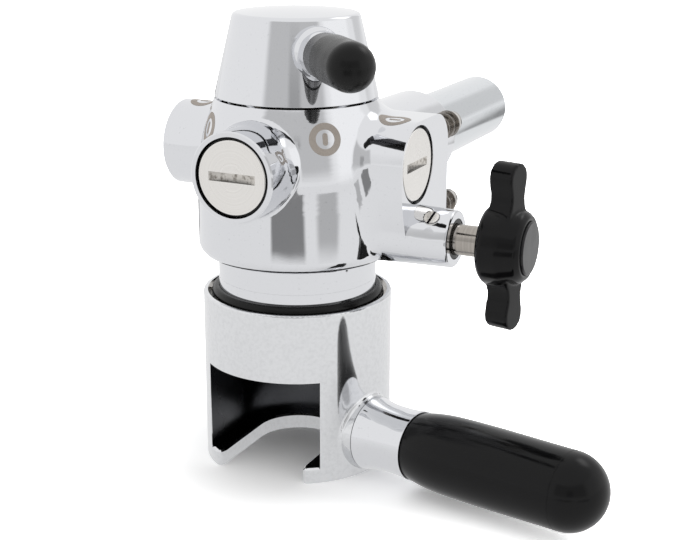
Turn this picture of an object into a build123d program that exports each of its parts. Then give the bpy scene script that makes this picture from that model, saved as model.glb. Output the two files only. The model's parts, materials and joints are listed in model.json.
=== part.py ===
"""Bottle-filling wine tap: a rotary tap on a quick bottle clamp.

The frame's origin is on the tap's upright axis, at the foot of the bottle clamp.
+Z is up, -Y is the front where the bottle slides in, +X is the side of the bleed valve
and +Y is the back, where the wine pipe leaves. All sizes are in millimetres.
"""

import os
from math import cos, radians, sin

from build123d import *

os.makedirs("parts", exist_ok=True)

# Clearances
RUN = 0.05  # radial clearance of a turning or sliding fit
FREE = 0.3  # gap between pieces that pass each other
TIGHT = 0.02  # gap between pieces fixed in one another
OVERRUN = 1.0  # how far a cut runs past the face it opens

# Thin seal cords and their grooves
SEAL_CORD = 0.6
SEAL_CORD_IN = 0.58
SEAL_GROOVE_H = 0.7
SEAL_GROOVE_DEPTH = 1.2

# Port bosses and the flare at their roots
PORT_R = 13.5
PORT_ROOT_R = PORT_R + 2.1
PORT_FLARE = 9.0
PORT_EDGE = 0.4
PORT_BLEND = 1.5

# Upright stack, each height counted from the one before
RING_H = 55.0
CLAMP_TURN = 90.0
CLAMP_LIFT = 4.0
NECK_DEPTH = 14.0
NECK_SHOWN = 5.0
NECK_COLLAR = 7.5
BLEED_RISE = 9.9
TAPER_RISE = 18.5
REAR_RISE = 20.1
PORT_RISE = 31.3
RIM_OVER_PORT = 2.0
CAP_GAP = 0.6
CAP_H = 24.9
NECK_FOOT = RING_H - NECK_DEPTH
NECK_JOINT = RING_H + NECK_SHOWN
SHOULDER_Z = NECK_JOINT + NECK_COLLAR
BLEED_Z = SHOULDER_Z + BLEED_RISE
TAPER_Z = SHOULDER_Z + TAPER_RISE
REAR_Z = SHOULDER_Z + REAR_RISE
PORT_Z = SHOULDER_Z + PORT_RISE
BODY_TOP = PORT_Z + PORT_ROOT_R + RIM_OVER_PORT
CAP_FOOT = BODY_TOP + CAP_GAP
CAP_TOP = CAP_FOOT + CAP_H

# Reach from the upright axis, each radius counted from the neck's
NECK_R = 25.0
RING_WALL = 5.0
BODY_STEP = 6.0
PORT_REACH = 9.7
BLEED_REACH = 12.8
SHAFT_SHOWN = 9.4
RING_R = NECK_R + RING_WALL
BODY_R = NECK_R + BODY_STEP
BODY_TOP_R = NECK_R + 0.2
PORT_END = BODY_R + PORT_REACH
BLOCK_X = PORT_END + 0.1
BLEED_END = BLOCK_X + BLEED_REACH
KNOB_X = BLEED_END + SHAFT_SHOWN

# Bottle clamp ring
RING_EDGE = 0.6
LEDGE_H = 5.0
WINDOW_DROP = 21.7
POCKET_WALL = 10.6
WINDOW_TOP = RING_H - WINDOW_DROP
POCKET_R = RING_R - POCKET_WALL
SLOT_R = POCKET_R - 5.4
SLOT_MOUTH = SLOT_R + 2.0
MOUTH_FLARE = 7.0
SLOT_EDGE = 0.6
TIP_EDGE = 1.2
CEILING_T = 2.7
CUP_DEPTH = 5.8
CUP_R = NECK_R + 3.6

# Neck of the tap, which the clamp climbs
SPIGOT_R = NECK_R - 5.0
SPIGOT_H = 6.0
NECK_BORE_R = NECK_R - 13.0
GASKET_R = SPIGOT_R - 6.0
GASKET_T = 1.0

# Cam screws and their helical grooves
CAM_Z = RING_H - 9.0
CAM_R = 1.9
CAM_BODY_R = 2.5
CAM_DEPTH = 2.4
CAM_PLAY = 0.2
CAM_SET_IN = 0.4
CAM_SLOT_W = 0.8
CAM_SLOT_DEPTH = 1.0
CAM_ANGLES = (130.0, 270.0)

# Guide ring with its keys, the wiper above it and the snap ring
GUIDE_H = 3.2
KEY_H = 1.6
KEY_W = 6.0
KEY_DEPTH = 1.8
KEY_ANGLES = (75.0, 245.0)
WIPER_H = 4.2
WIPER_R = NECK_R + 2.3
WIPER_LIP = 1.2
SNAP_T = 1.0
SNAP_DEPTH = 0.5
SNAP_IN = NECK_R + 2.6
SNAP_GAP = 12.0
SNAP_AT = 300.0

# Clamp handle, measured along its own axis
HANDLE_ANGLE = 75.4
HANDLE_RISE = 2.0
HANDLE_Z = 12.2
BOSS_START = RING_R - 6.0
BOSS_END = RING_R + 2.0
BOSS_R = 11.7
BOSS_BLEND = 1.5
COLLAR_L = 18.0
COLLAR_END = BOSS_END + COLLAR_L
COLLAR_WAIST_R = 10.4
COLLAR_WAIST_AT = BOSS_END + 11.0
COLLAR_RIM_R = 10.9
GRIP_L = 64.4
GRIP_START_R = 10.4
GRIP_SWELL = COLLAR_END + 14.0
GRIP_R = 12.0
GRIP_TIP_R = 11.8
GRIP_TIP = COLLAR_END + GRIP_L
STUD_R = 4.0
STUD_START = BOSS_START - 0.4
STUD_END = GRIP_TIP - 2 * GRIP_R + 1.6

# Bottle seal and filler spout
SEAL_FOOT = WINDOW_TOP - 2.8
SEAL_T = 5.0
SEAL_HOLE = 6.0
SEAL_LIP = 1.0
SEAL_EDGE = 0.8
CARRIER_R = NECK_R - 8.0
CARRIER_FOOT = SEAL_FOOT + 3.0
CARRIER_TOP = NECK_FOOT + 8.0
CARRIER_BORE_R = NECK_BORE_R - 1.0
CARRIER_FUNNEL = 3.0
SEAL_R = CARRIER_R - 1.5
SPOUT_R = 4.0
SPOUT_BORE = 2.8
SPOUT_FOOT = SEAL_FOOT - 2.0
SPOUT_FLANGE_R = 8.2
SPOUT_FLANGE_T = 1.8
SPOUT_HEAD = 9.0
SPOUT_EDGE = 0.5
SPOUT_FUNNEL = 3.0
OUTLET_R = 6.0
VENT_R = 1.5
VENT_X = OUTLET_R + 4.4

SHOULDER_FILLET = 4.0

# Block on the right, whose front falls back into the bleed valve's tapered boss
BLOCK_R = PORT_R - 0.5
BLOCK_FRONT = BLOCK_R - 0.4
BLOCK_REAR = 24.0
BLOCK_FOOT = SHOULDER_Z + 2.0
BLOCK_CORNER = 10.0
BLOCK_LOW_CORNER = 4.0
BLOCK_BLEND = 7.0
CHIN_TOP = PORT_Z - 0.8
CHIN_IN = 4.0
BLEED_R = 8.7
BLEED_ROOT_R = BLEED_R + 1.2
BLEED_ROOT_X = BODY_R - 16.0
BLEED_BLEND = 4.0
BLEED_EDGE = 0.8

# Boss at the back and the wine pipe
PIPE_R = 12.5
PIPE_WALL = 1.5
PIPE_SEAT_R = PIPE_R - 0.3
REAR_END = 94.4
REAR_R = PIPE_R + 4.3
REAR_ROOT_R = REAR_R + 0.6
REAR_EDGE = 1.6
REAR_BLEND = 4.0
INLET_R = 5.5
PIPE_HELD = 49.4
PIPE_SHOWN = 68.6
PIPE_START = REAR_END - PIPE_HELD
PIPE_END = REAR_END + PIPE_SHOWN
PIPE_SEALS = (PIPE_START + 13.0, PIPE_START + 21.0)

# Rotor, its chamber and its ports
ROTOR_R = 16.5
ROTOR_FOOT = SHOULDER_Z + 14.0
ROTOR_TOP = BODY_TOP - 6.8
WASHER_T = 2.4
RETAINER_R = BODY_TOP_R - 6.2
RETAINER_PIN_R = 1.4
RETAINER_PIN_DEPTH = 2.0
RETAINER_PIN_AT = RETAINER_R - 4.0
DRINK_TURN = 225.0
GAS_R = 4.0
TANG_W = 10.0
TANG_H = 5.0
SPINDLE_R = 7.0

# Slotted port plugs, their seals, seats and spring washers
PLUG_R = PORT_R - 2.5
PLUG_RIM_R = PLUG_R + 0.9
PLUG_FACE = PORT_END - 0.2
PLUG_HEAD = 3.6
PLUG_SHANK_R = PLUG_R - 2.0
PLUG_SHANK = 6.5
PLUG_NOSE_R = 4.9
PLUG_NOSE = 2.8
PLUG_EDGE = 0.25
SLOT_L = 2 * PLUG_R - 6.7
SLOT_W = 2.7
SLOT_DEPTH = 1.7
PLUG_SEAL_AT = PLUG_FACE - 1.6
CORD_R = 0.85
SEAT_R = PLUG_SHANK_R - 0.3
SEAT_START = ROTOR_R - 2.5
SPRING_ROOM = 3.4
SPRING_T = 0.7
SPRING_CONE = 0.9
SPRING_HOLE = 5.2
SPRING_R = SEAT_R - 0.1

# Cap that turns the rotor
CAP_FOOT_R = BODY_TOP_R + 0.05
CAP_TOP_R = CAP_FOOT_R - 5.83
CAP_CROWN = 1.3
CAP_EDGE = 1.2
CAP_WALL = 2.2
CAP_ROOF = CAP_TOP - 3.9
SPINDLE_TOP = CAP_ROOF - 1.6
HUB_R = SPINDLE_R + 4.0
HUB_FOOT = CAP_FOOT + 1.0
STOP_R = 1.4
STOP_AT = BODY_TOP_R - 4.4
STOP_ANGLE = 180.0
STOP_FOOT = BODY_TOP - 3.6
STOP_TOP = BODY_TOP + 2.4
STOP_LUG_IN = STOP_AT - 2.0
STOP_LUG_TOP = CAP_FOOT + 2.2
STOP_LUG_SPAN = 171.4

# Lever on the cap, measured along its own axis
LEVER_ANGLE = 44.0
LEVER_Z = CAP_TOP - 9.5
LEVER_BASE = CAP_TOP_R - 1.4
LEVER_FLARE = LEVER_BASE + 4.4
LEVER_BASE_R = 7.6
LEVER_NECK_R = 6.5
LEVER_EASE_END = LEVER_FLARE + 2.0
LEVER_EASE_R = LEVER_NECK_R + 0.25
LEVER_RING_END = LEVER_FLARE + 6.0
LEVER_COLLAR_END = LEVER_RING_END + 7.0
LEVER_COLLAR_R = 6.65
LEVER_GRIP_R = 7.05
LEVER_GRIP_L = 22.6
LEVER_TIP = LEVER_COLLAR_END + LEVER_GRIP_L
LEVER_ROD_R = 4.0
LEVER_ROD_START = 3.0
LEVER_ROD_END = LEVER_TIP - 11.0

# Bleed valve, measured outwards along the boss
BLEED_SEAT_X = BLOCK_X - 7.4
BLEED_CHAMBER_R = 4.2
GLAND_R = 6.2
GLAND_START = BLEED_END - 10.0
GLAND_END = BLEED_END - 1.2
GLAND_FACE = BLEED_END - 0.2
SHAFT_R = 4.65
SHAFT_START = GLAND_START + 0.8
SHAFT_STEP = KNOB_X + 2.0
SHAFT_TIP_R = 3.5
SHAFT_END = KNOB_X + 9.0
SHAFT_SEAL_X = BLEED_END - 4.7
STEM_R = 3.2
STEM_START = BLEED_SEAT_X + 4.0
JUMPER_R = 3.4
JUMPER_T = 1.4
JUMPER_WASHER_R = 3.0
JUMPER_WASHER_T = 2.1
JUMPER_STEM_R = 1.5
JUMPER_STEM_END = BLEED_SEAT_X + 8.6

# Wing knob
KNOB_T = 13.3
KNOB_HUB_R = 12.0
KNOB_FACE_R = 9.2
KNOB_EDGE = 1.4
KNOB_SPAN_R = 25.3
KNOB_WAIST = 3.6
KNOB_WAIST_AT = 15.5
KNOB_BULB = 4.6
WING_X = KNOB_X + 6.5
WING_T = 7.6
WING_LEAN = 12.0
WING_FOOT = KNOB_HUB_R - 2.0
WING_SHOULDER = KNOB_WAIST + 1.2
WING_SHOULDER_AT = KNOB_HUB_R - 1.4
KNOB_CAP_R = 8.0
KNOB_CAP_T = 1.4
KNOB_CAP_EDGE = 0.5
KNOB_SCREW_R = 3.0
KNOB_SCREW_HEAD = 1.8
KNOB_SCREW_L = 4.5
KNOB_THREAD_R = 1.4
KNOB_TAP = 5.0
KNOB_WEB = 1.2

# Hose barbs
BARB_X = BLOCK_X - 6.8
BARB_R = 4.4
BARB_ROOT_R = 3.5
BARB_BORE = 2.0
BARB_PITCH = 4.5
BARB_LAND = 1.0
BARB_ROWS = 3
BARB_HEIGHTS = (BLEED_Z + 0.7, PORT_Z + 5.0)
BARB_ENDS = (BLOCK_REAR + 19.5, BLOCK_REAR + 21.0)
BARB_NAMES = ("lower_hose_barb", "upper_hose_barb")
BARB_COLLAR = 3.0
BARB_ANCHOR = 11.5
BARB_ANCHOR_R = 3.6
BARB_SEAL_R = 0.6
BARB_FLANGE_FACE = BLOCK_REAR - 2.5
DUCT_R = 1.6

# Lock screws
LOCK_X = BLEED_END - 6.0
LOCK_TILT = 53.0
LOCK_SHANK_R = 1.5
LOCK_TIP = GLAND_R - 0.9
LOCK_HEAD_R = 2.5
LOCK_SEAT = BLEED_R - 0.8
LOCK_HEAD = BLEED_R + 0.5
LOCK_EDGE = 0.3
LOCK_SLOT_L = 2 * LOCK_HEAD_R - 1.2
LOCK_SLOT_W = 0.8
LOCK_SLOT_DEPTH = 0.8
LOCK_SLOT_TURN = 12.0
PIPE_LOCK_Y = REAR_END - 10.4
PIPE_LOCK_R = 2.5
PIPE_LOCK_L = 3.6
HEX_SIZE = 2.6


def heading(azimuth, rise=0.0):
    """Give the direction at an azimuth, in degrees from the front towards +X."""
    flat = cos(radians(rise))
    return Vector(flat * sin(radians(azimuth)), -flat * cos(radians(azimuth)), sin(radians(rise)))


def lathe_plane(origin, direction):
    """Give a plane whose x runs along a turning axis and whose y is the radius."""
    side = Vector(0, 0, 1) if abs(direction.Z) < 0.9 else Vector(1, 0, 0)
    return Plane(origin=origin, x_dir=direction, z_dir=direction.cross(side))


def end_plane(plane, distance):
    """Give the plane square to a lathe plane's axis, with its x level and its z outwards."""
    level = plane.x_dir.cross(plane.y_dir)
    return Plane(origin=plane.origin + plane.x_dir * distance, x_dir=level, z_dir=plane.x_dir)


def turn(plane, outline, mode=Mode.ADD):
    """Turn a closed outline of (distance along the axis, radius) about the plane's x axis."""
    with BuildSketch(plane) as profile:
        with BuildLine():
            Polyline(*outline, close=True)
        make_face()
    revolve(profile.sketch, axis=Axis(plane.origin, plane.x_dir), mode=mode)


def turn_cord(plane, distance, radius, section, mode=Mode.ADD):
    """Turn a round cord of the given section radius about the plane's x axis."""
    with BuildSketch(plane) as profile:
        with Locations((distance, radius)):
            Circle(section)
    revolve(profile.sketch, axis=Axis(plane.origin, plane.x_dir), mode=mode)


def bar(start, end, radius):
    """Give the outline of a plain round bar for turn()."""
    return [(start, 0), (start, radius), (end, radius), (end, 0)]


def sleeve(start, end, inner, outer):
    """Give the outline of a plain sleeve for turn()."""
    return [(start, inner), (start, outer), (end, outer), (end, inner)]


def cut_slot(plane, length, width, depth):
    """Cut a straight driver slot into the face that lies on the plane."""
    with BuildSketch(plane) as slot:
        Rectangle(length, width)
    extrude(slot.sketch, amount=-depth, mode=Mode.SUBTRACT)


def turn_helix(height, radius, rise, pitch, width, depth):
    """Sweep a rectangle up a helix that starts on +X, with round ends square to the axis."""
    with BuildLine(Plane.XY.offset(height)) as climb:
        Helix(pitch=pitch, height=rise, radius=radius)
    path = climb.wire()
    with BuildSketch(Plane(origin=path @ 0, x_dir=(1, 0, 0), z_dir=path % 0)) as section:
        Rectangle(depth, width)
    sweep(section.sketch, path=path, is_frenet=True)
    swept = 360 * rise / pitch
    low_end = lathe_plane((0, 0, height), heading(90))
    high_end = lathe_plane((0, 0, height + rise), heading(90 + swept))
    for end in (low_end, high_end):
        turn(end, bar(radius - depth / 2, radius + depth / 2, width / 2))


def keep(builder, name):
    """Label a finished piece and write it under its node's name."""
    builder.part.label = name
    export_step(builder.part, f"parts/{name}.step")


UP = lathe_plane((0, 0, 0), Vector(0, 0, 1))
REAR = lathe_plane((0, 0, REAR_Z), heading(180))
BLEED = lathe_plane((0, 0, BLEED_Z), heading(90))
LEVER = lathe_plane((0, 0, LEVER_Z), heading(LEVER_ANGLE))
HANDLE = lathe_plane((0, 0, HANDLE_Z), heading(HANDLE_ANGLE, HANDLE_RISE))
PORTS = {
    "front": lathe_plane((0, 0, PORT_Z), heading(0)),
    "left": lathe_plane((0, 0, PORT_Z), heading(-90)),
    "right": lathe_plane((0, 0, PORT_Z), heading(90)),
}
LOCK_DIRECTION = Vector(0, -cos(radians(LOCK_TILT)), sin(radians(LOCK_TILT)))
LOCK = lathe_plane((LOCK_X, 0, BLEED_Z), LOCK_DIRECTION)
PIPE_LOCK = lathe_plane((0, PIPE_LOCK_Y, REAR_Z), Vector(0, 0, -1))

CEILING_TOP = WINDOW_TOP + CEILING_T
GUIDE_FOOT = RING_H - CUP_DEPTH + RUN
GUIDE_TOP = GUIDE_FOOT + GUIDE_H
CHAMBER_TOP = ROTOR_TOP + WASHER_T + 2 * RUN
SPINDLE_SEAL_Z = (CHAMBER_TOP + 1.0, CHAMBER_TOP + 3.0)
PLUG_HEAD_BACK = PLUG_FACE - PLUG_HEAD
PLUG_SHANK_BACK = PLUG_HEAD_BACK - PLUG_SHANK
SEAT_END = PLUG_SHANK_BACK - SPRING_ROOM
GAS_DUCT_X = (SEAT_END + PLUG_SHANK_BACK) / 2
SPOUT_TOP = NECK_JOINT + SPIGOT_H + GASKET_T + SPOUT_HEAD
SOCKET_TOP = NECK_JOINT + SPIGOT_H + GASKET_T
CONE_RUN = (CAP_FOOT_R - CAP_TOP_R) / (CAP_TOP - CAP_FOOT)


# Tap body: one casting with its bosses, its valve block and all its bores
with BuildPart() as main_body:
    with BuildSketch(Plane.XZ):
        with BuildLine():
            Line((0, NECK_JOINT), (NECK_R, NECK_JOINT))
            Line((NECK_R, NECK_JOINT), (NECK_R, SHOULDER_Z))
            Line((NECK_R, SHOULDER_Z), (BODY_R - SHOULDER_FILLET, SHOULDER_Z))
            shoulder = JernArc((BODY_R - SHOULDER_FILLET, SHOULDER_Z), (1, 0), SHOULDER_FILLET, 90)
            Line(shoulder @ 1, (BODY_R, TAPER_Z))
            TangentArc((BODY_R, TAPER_Z), (BODY_TOP_R, BODY_TOP), tangent=(0, 1))
            Line((BODY_TOP_R, BODY_TOP), (0, BODY_TOP))
            Line((0, BODY_TOP), (0, NECK_JOINT))
        make_face()
    revolve(axis=Axis.Z)
    # Valve block, blended into the barrel, with its front sloping back to the boss below
    with BuildSketch(Plane.YZ):
        with BuildLine():
            block_top = PORT_Z + BLOCK_R
            high = block_top - BLOCK_CORNER
            low = BLOCK_FOOT + BLOCK_LOW_CORNER
            Line((0, block_top), (BLOCK_REAR - BLOCK_CORNER, block_top))
            TangentArc((BLOCK_REAR - BLOCK_CORNER, block_top), (BLOCK_REAR, high), tangent=(1, 0))
            Line((BLOCK_REAR, high), (BLOCK_REAR, low))
            TangentArc((BLOCK_REAR, low), (BLOCK_REAR - BLOCK_LOW_CORNER, BLOCK_FOOT), tangent=(0, -1))
            Line((BLOCK_REAR - BLOCK_LOW_CORNER, BLOCK_FOOT), (-CHIN_IN, BLOCK_FOOT))
            TangentArc((-BLOCK_FRONT, CHIN_TOP), (-CHIN_IN, BLOCK_FOOT), tangent=(0, -1))
            Line((-BLOCK_FRONT, CHIN_TOP), (-BLOCK_FRONT, block_top - BLOCK_FRONT))
            TangentArc((-BLOCK_FRONT, block_top - BLOCK_FRONT), (0, block_top), tangent=(0, 1))
        make_face()
    extrude(amount=BLOCK_X)
    seam = [edge for edge in main_body.edges(Select.NEW) if low < edge.center().Z]
    fillet([edge for edge in seam if edge.center().X < BODY_R], BLOCK_BLEND)
    # Tapered boss of the bleed valve, blended at the front into the barrel and the block
    turn(BLEED, [(BLEED_ROOT_X, 0), (BLEED_ROOT_X, BLEED_ROOT_R), (BLEED_END, BLEED_R), (BLEED_END, 0)])
    seam = [edge for edge in main_body.edges(Select.NEW) if edge.center().X < BLOCK_X - FREE]
    fillet([edge for edge in seam if edge.center().Y < 0], BLEED_BLEND)
    fillet(main_body.faces().sort_by(Axis.X)[-1].edges(), BLEED_EDGE)
    # Boss at the back that holds the wine pipe
    turn(REAR, [(0, 0), (0, REAR_ROOT_R), (REAR_END, REAR_R), (REAR_END, 0)])
    fillet(main_body.edges(Select.NEW), REAR_BLEND)
    fillet(main_body.faces().sort_by(Axis.Y)[-1].edges(), REAR_EDGE)
    # Flared port bosses at the front and on the left
    for side in ("front", "left"):
        port = PORTS[side]
        with BuildSketch(port):
            with BuildLine():
                Line((0, 0), (0, PORT_ROOT_R))
                Line((0, PORT_ROOT_R), (BODY_TOP_R - 1, PORT_ROOT_R))
                TangentArc((PORT_END - PORT_FLARE, PORT_R), (BODY_TOP_R - 1, PORT_ROOT_R), tangent=(-1, 0))
                Line((PORT_END - PORT_FLARE, PORT_R), (PORT_END - PORT_EDGE, PORT_R))
                Line((PORT_END - PORT_EDGE, PORT_R), (PORT_END, PORT_R - PORT_EDGE))
                Line((PORT_END, PORT_R - PORT_EDGE), (PORT_END, 0))
                Line((PORT_END, 0), (0, 0))
            make_face()
        revolve(axis=Axis(port.origin, port.x_dir))
        fillet(main_body.edges(Select.NEW), PORT_BLEND)
    # Rotor chamber with the retainer's bore above and the outlet below
    turn(UP, bar(ROTOR_FOOT - RUN, CHAMBER_TOP, ROTOR_R + RUN), Mode.SUBTRACT)
    turn(UP, bar(CHAMBER_TOP, BODY_TOP, RETAINER_R + TIGHT), Mode.SUBTRACT)
    turn(UP, bar(NECK_JOINT, SOCKET_TOP, SPIGOT_R + TIGHT), Mode.SUBTRACT)
    turn(UP, bar(SOCKET_TOP, ROTOR_FOOT, OUTLET_R), Mode.SUBTRACT)
    # Port bores for the seats, the plugs' shanks and the plugs' heads
    for port in PORTS.values():
        turn(port, bar(SEAT_START, PLUG_SHANK_BACK, SEAT_R + TIGHT), Mode.SUBTRACT)
        turn(port, bar(PLUG_SHANK_BACK, PLUG_HEAD_BACK, PLUG_SHANK_R + TIGHT), Mode.SUBTRACT)
        turn(port, bar(PLUG_HEAD_BACK, PORT_END + OVERRUN, PLUG_RIM_R), Mode.SUBTRACT)
    # Wine inlet and the pipe's socket with its two seal grooves and lock screw
    turn(REAR, bar(SEAT_START, PIPE_START, INLET_R), Mode.SUBTRACT)
    turn(REAR, bar(PIPE_START, REAR_END, PIPE_SEAT_R + TIGHT), Mode.SUBTRACT)
    for seal_y in PIPE_SEALS:
        groove = bar(seal_y - CORD_R - TIGHT, seal_y + CORD_R + TIGHT, PIPE_SEAT_R + 2 * CORD_R)
        turn(REAR, groove, Mode.SUBTRACT)
    turn(PIPE_LOCK, bar(PIPE_SEAT_R, REAR_R + OVERRUN, PIPE_LOCK_R + TIGHT), Mode.SUBTRACT)
    # Bleed valve's chamber, its gland's pocket, lock screw hole and the vent to the neck
    turn(BLEED, bar(BLEED_SEAT_X, GLAND_START, BLEED_CHAMBER_R), Mode.SUBTRACT)
    turn(BLEED, bar(GLAND_START, BLEED_END, GLAND_R + TIGHT), Mode.SUBTRACT)
    turn(BLEED, bar(VENT_X, BLEED_SEAT_X, VENT_R), Mode.SUBTRACT)
    turn(LOCK, bar(GLAND_R - OVERRUN, LOCK_SEAT, LOCK_SHANK_R + TIGHT), Mode.SUBTRACT)
    turn(LOCK, bar(LOCK_SEAT, LOCK_HEAD + OVERRUN, LOCK_HEAD_R + TIGHT), Mode.SUBTRACT)
    with BuildSketch(Plane.XY.offset(SOCKET_TOP)):
        with Locations((VENT_X, 0)):
            Circle(VENT_R)
    extrude(amount=BLEED_Z - SOCKET_TOP, mode=Mode.SUBTRACT)
    # Gas passages: from the bleed chamber to the lower barb and from the right port to the upper barb
    anchor_y = BLOCK_REAR - BARB_ANCHOR
    bleed_duct = lathe_plane((BARB_X + 2, 0, BARB_HEIGHTS[0]), heading(180))
    turn(bleed_duct, bar(0, anchor_y, DUCT_R), Mode.SUBTRACT)
    gas_duct = lathe_plane((GAS_DUCT_X, 0, BARB_HEIGHTS[1]), heading(180))
    turn(gas_duct, bar(0, anchor_y, DUCT_R), Mode.SUBTRACT)
    link_duct = lathe_plane((0, anchor_y - DUCT_R + FREE, BARB_HEIGHTS[1]), heading(90))
    turn(link_duct, bar(GAS_DUCT_X, BARB_X, DUCT_R), Mode.SUBTRACT)
    for height in BARB_HEIGHTS:
        barb = lathe_plane((BARB_X, 0, height), heading(180))
        turn(barb, bar(anchor_y - TIGHT, BLOCK_REAR, BARB_ANCHOR_R + TIGHT), Mode.SUBTRACT)
        turn(barb, bar(BARB_FLANGE_FACE, BLOCK_REAR + OVERRUN, BARB_R + TIGHT), Mode.SUBTRACT)
    # Hole of the stop pin in the rim
    stop = Plane.XY.offset(BODY_TOP) * Pos(*(heading(STOP_ANGLE) * STOP_AT))
    with BuildSketch(stop):
        Circle(STOP_R + TIGHT)
    extrude(amount=STOP_FOOT - BODY_TOP, mode=Mode.SUBTRACT)
keep(main_body, "main_body")


# Cutter for one cam groove, from the foot of the climb on +X
with BuildPart() as cam_groove:
    turn_helix(
        height=CAM_Z,
        radius=NECK_R,
        rise=CLAMP_LIFT,
        pitch=CLAMP_LIFT * 360 / CLAMP_TURN,
        width=2 * (CAM_R + CAM_PLAY),
        depth=2 * CAM_DEPTH,
    )

# Neck sleeve: spigot into the body, counterbore for the seal carrier, cam grooves and key slots
with BuildPart() as neck_sleeve:
    turn(UP, [
        (NECK_FOOT, CARRIER_R + TIGHT),
        (NECK_FOOT, NECK_R),
        (NECK_JOINT - TIGHT, NECK_R),
        (NECK_JOINT - TIGHT, SPIGOT_R),
        (NECK_JOINT + SPIGOT_H, SPIGOT_R),
        (NECK_JOINT + SPIGOT_H, NECK_BORE_R),
        (CARRIER_TOP + TIGHT, NECK_BORE_R),
        (CARRIER_TOP + TIGHT, CARRIER_R + TIGHT),
    ])
    for angle in CAM_ANGLES:
        add(cam_groove.part, rotation=(0, 0, angle - 90), mode=Mode.SUBTRACT)
    for angle in KEY_ANGLES:
        with BuildSketch(Plane(origin=(0, 0, GUIDE_FOOT - FREE), x_dir=heading(angle), z_dir=(0, 0, 1))):
            with Locations((NECK_R, 0)):
                Rectangle(2 * (KEY_DEPTH + FREE), KEY_W + 2 * RUN)
        extrude(amount=KEY_H + CLAMP_LIFT + 2 * FREE, mode=Mode.SUBTRACT)
keep(neck_sleeve, "neck_sleeve")

with BuildPart() as neck_gasket:
    turn(UP, sleeve(NECK_JOINT + SPIGOT_H + TIGHT, SOCKET_TOP - TIGHT, GASKET_R, SPIGOT_R))
keep(neck_gasket, "neck_gasket")

# Seal carrier with a recess for the rubber seal at its foot
with BuildPart() as seal_carrier:
    recess_top = SEAL_FOOT + SEAL_T + TIGHT
    turn(UP, [
        (CARRIER_FOOT, SEAL_R + TIGHT),
        (CARRIER_FOOT, CARRIER_R),
        (CARRIER_TOP, CARRIER_R),
        (CARRIER_TOP, CARRIER_BORE_R),
        (recess_top + CARRIER_FUNNEL, CARRIER_BORE_R),
        (recess_top, SEAL_HOLE + SEAL_LIP),
        (recess_top, SEAL_R + TIGHT),
    ])
keep(seal_carrier, "seal_carrier")

# Rubber seal that the bottle's mouth presses on, with an undercut lip
with BuildPart() as bottle_seal:
    seal_top = SEAL_FOOT + SEAL_T
    turn(UP, [
        (SEAL_FOOT, SEAL_HOLE + SEAL_LIP),
        (SEAL_FOOT, SEAL_R - SEAL_EDGE),
        (SEAL_FOOT + SEAL_EDGE, SEAL_R),
        (seal_top, SEAL_R),
        (seal_top, SEAL_HOLE),
        (SEAL_FOOT + SEAL_LIP, SEAL_HOLE),
    ])
keep(bottle_seal, "bottle_seal")

# Filler spout: tube with a head that plugs into the outlet and a flange under it
with BuildPart() as filler_spout:
    flange_top = SOCKET_TOP - TIGHT
    turn(UP, [
        (SPOUT_FOOT, SPOUT_BORE),
        (SPOUT_FOOT, SPOUT_R - SPOUT_EDGE),
        (SPOUT_FOOT + SPOUT_EDGE, SPOUT_R),
        (flange_top - SPOUT_FLANGE_T, SPOUT_R),
        (flange_top - SPOUT_FLANGE_T, SPOUT_FLANGE_R),
        (flange_top, SPOUT_FLANGE_R),
        (flange_top, OUTLET_R - TIGHT),
        (SPOUT_TOP, OUTLET_R - TIGHT),
        (SPOUT_TOP, SPOUT_R),
        (SPOUT_TOP - SPOUT_FUNNEL, SPOUT_BORE),
    ])
    seal_z = SOCKET_TOP + SPOUT_HEAD / 3
    foot = seal_z - SEAL_GROOVE_H
    top = seal_z + SEAL_GROOVE_H
    turn(UP, sleeve(foot, top, OUTLET_R - TIGHT - SEAL_GROOVE_DEPTH, OUTLET_R), Mode.SUBTRACT)
keep(filler_spout, "filler_spout")

with BuildPart() as spout_o_ring:
    turn_cord(UP, seal_z, OUTLET_R - TIGHT - SEAL_CORD_IN, SEAL_CORD)
keep(spout_o_ring, "spout_o_ring")

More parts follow.
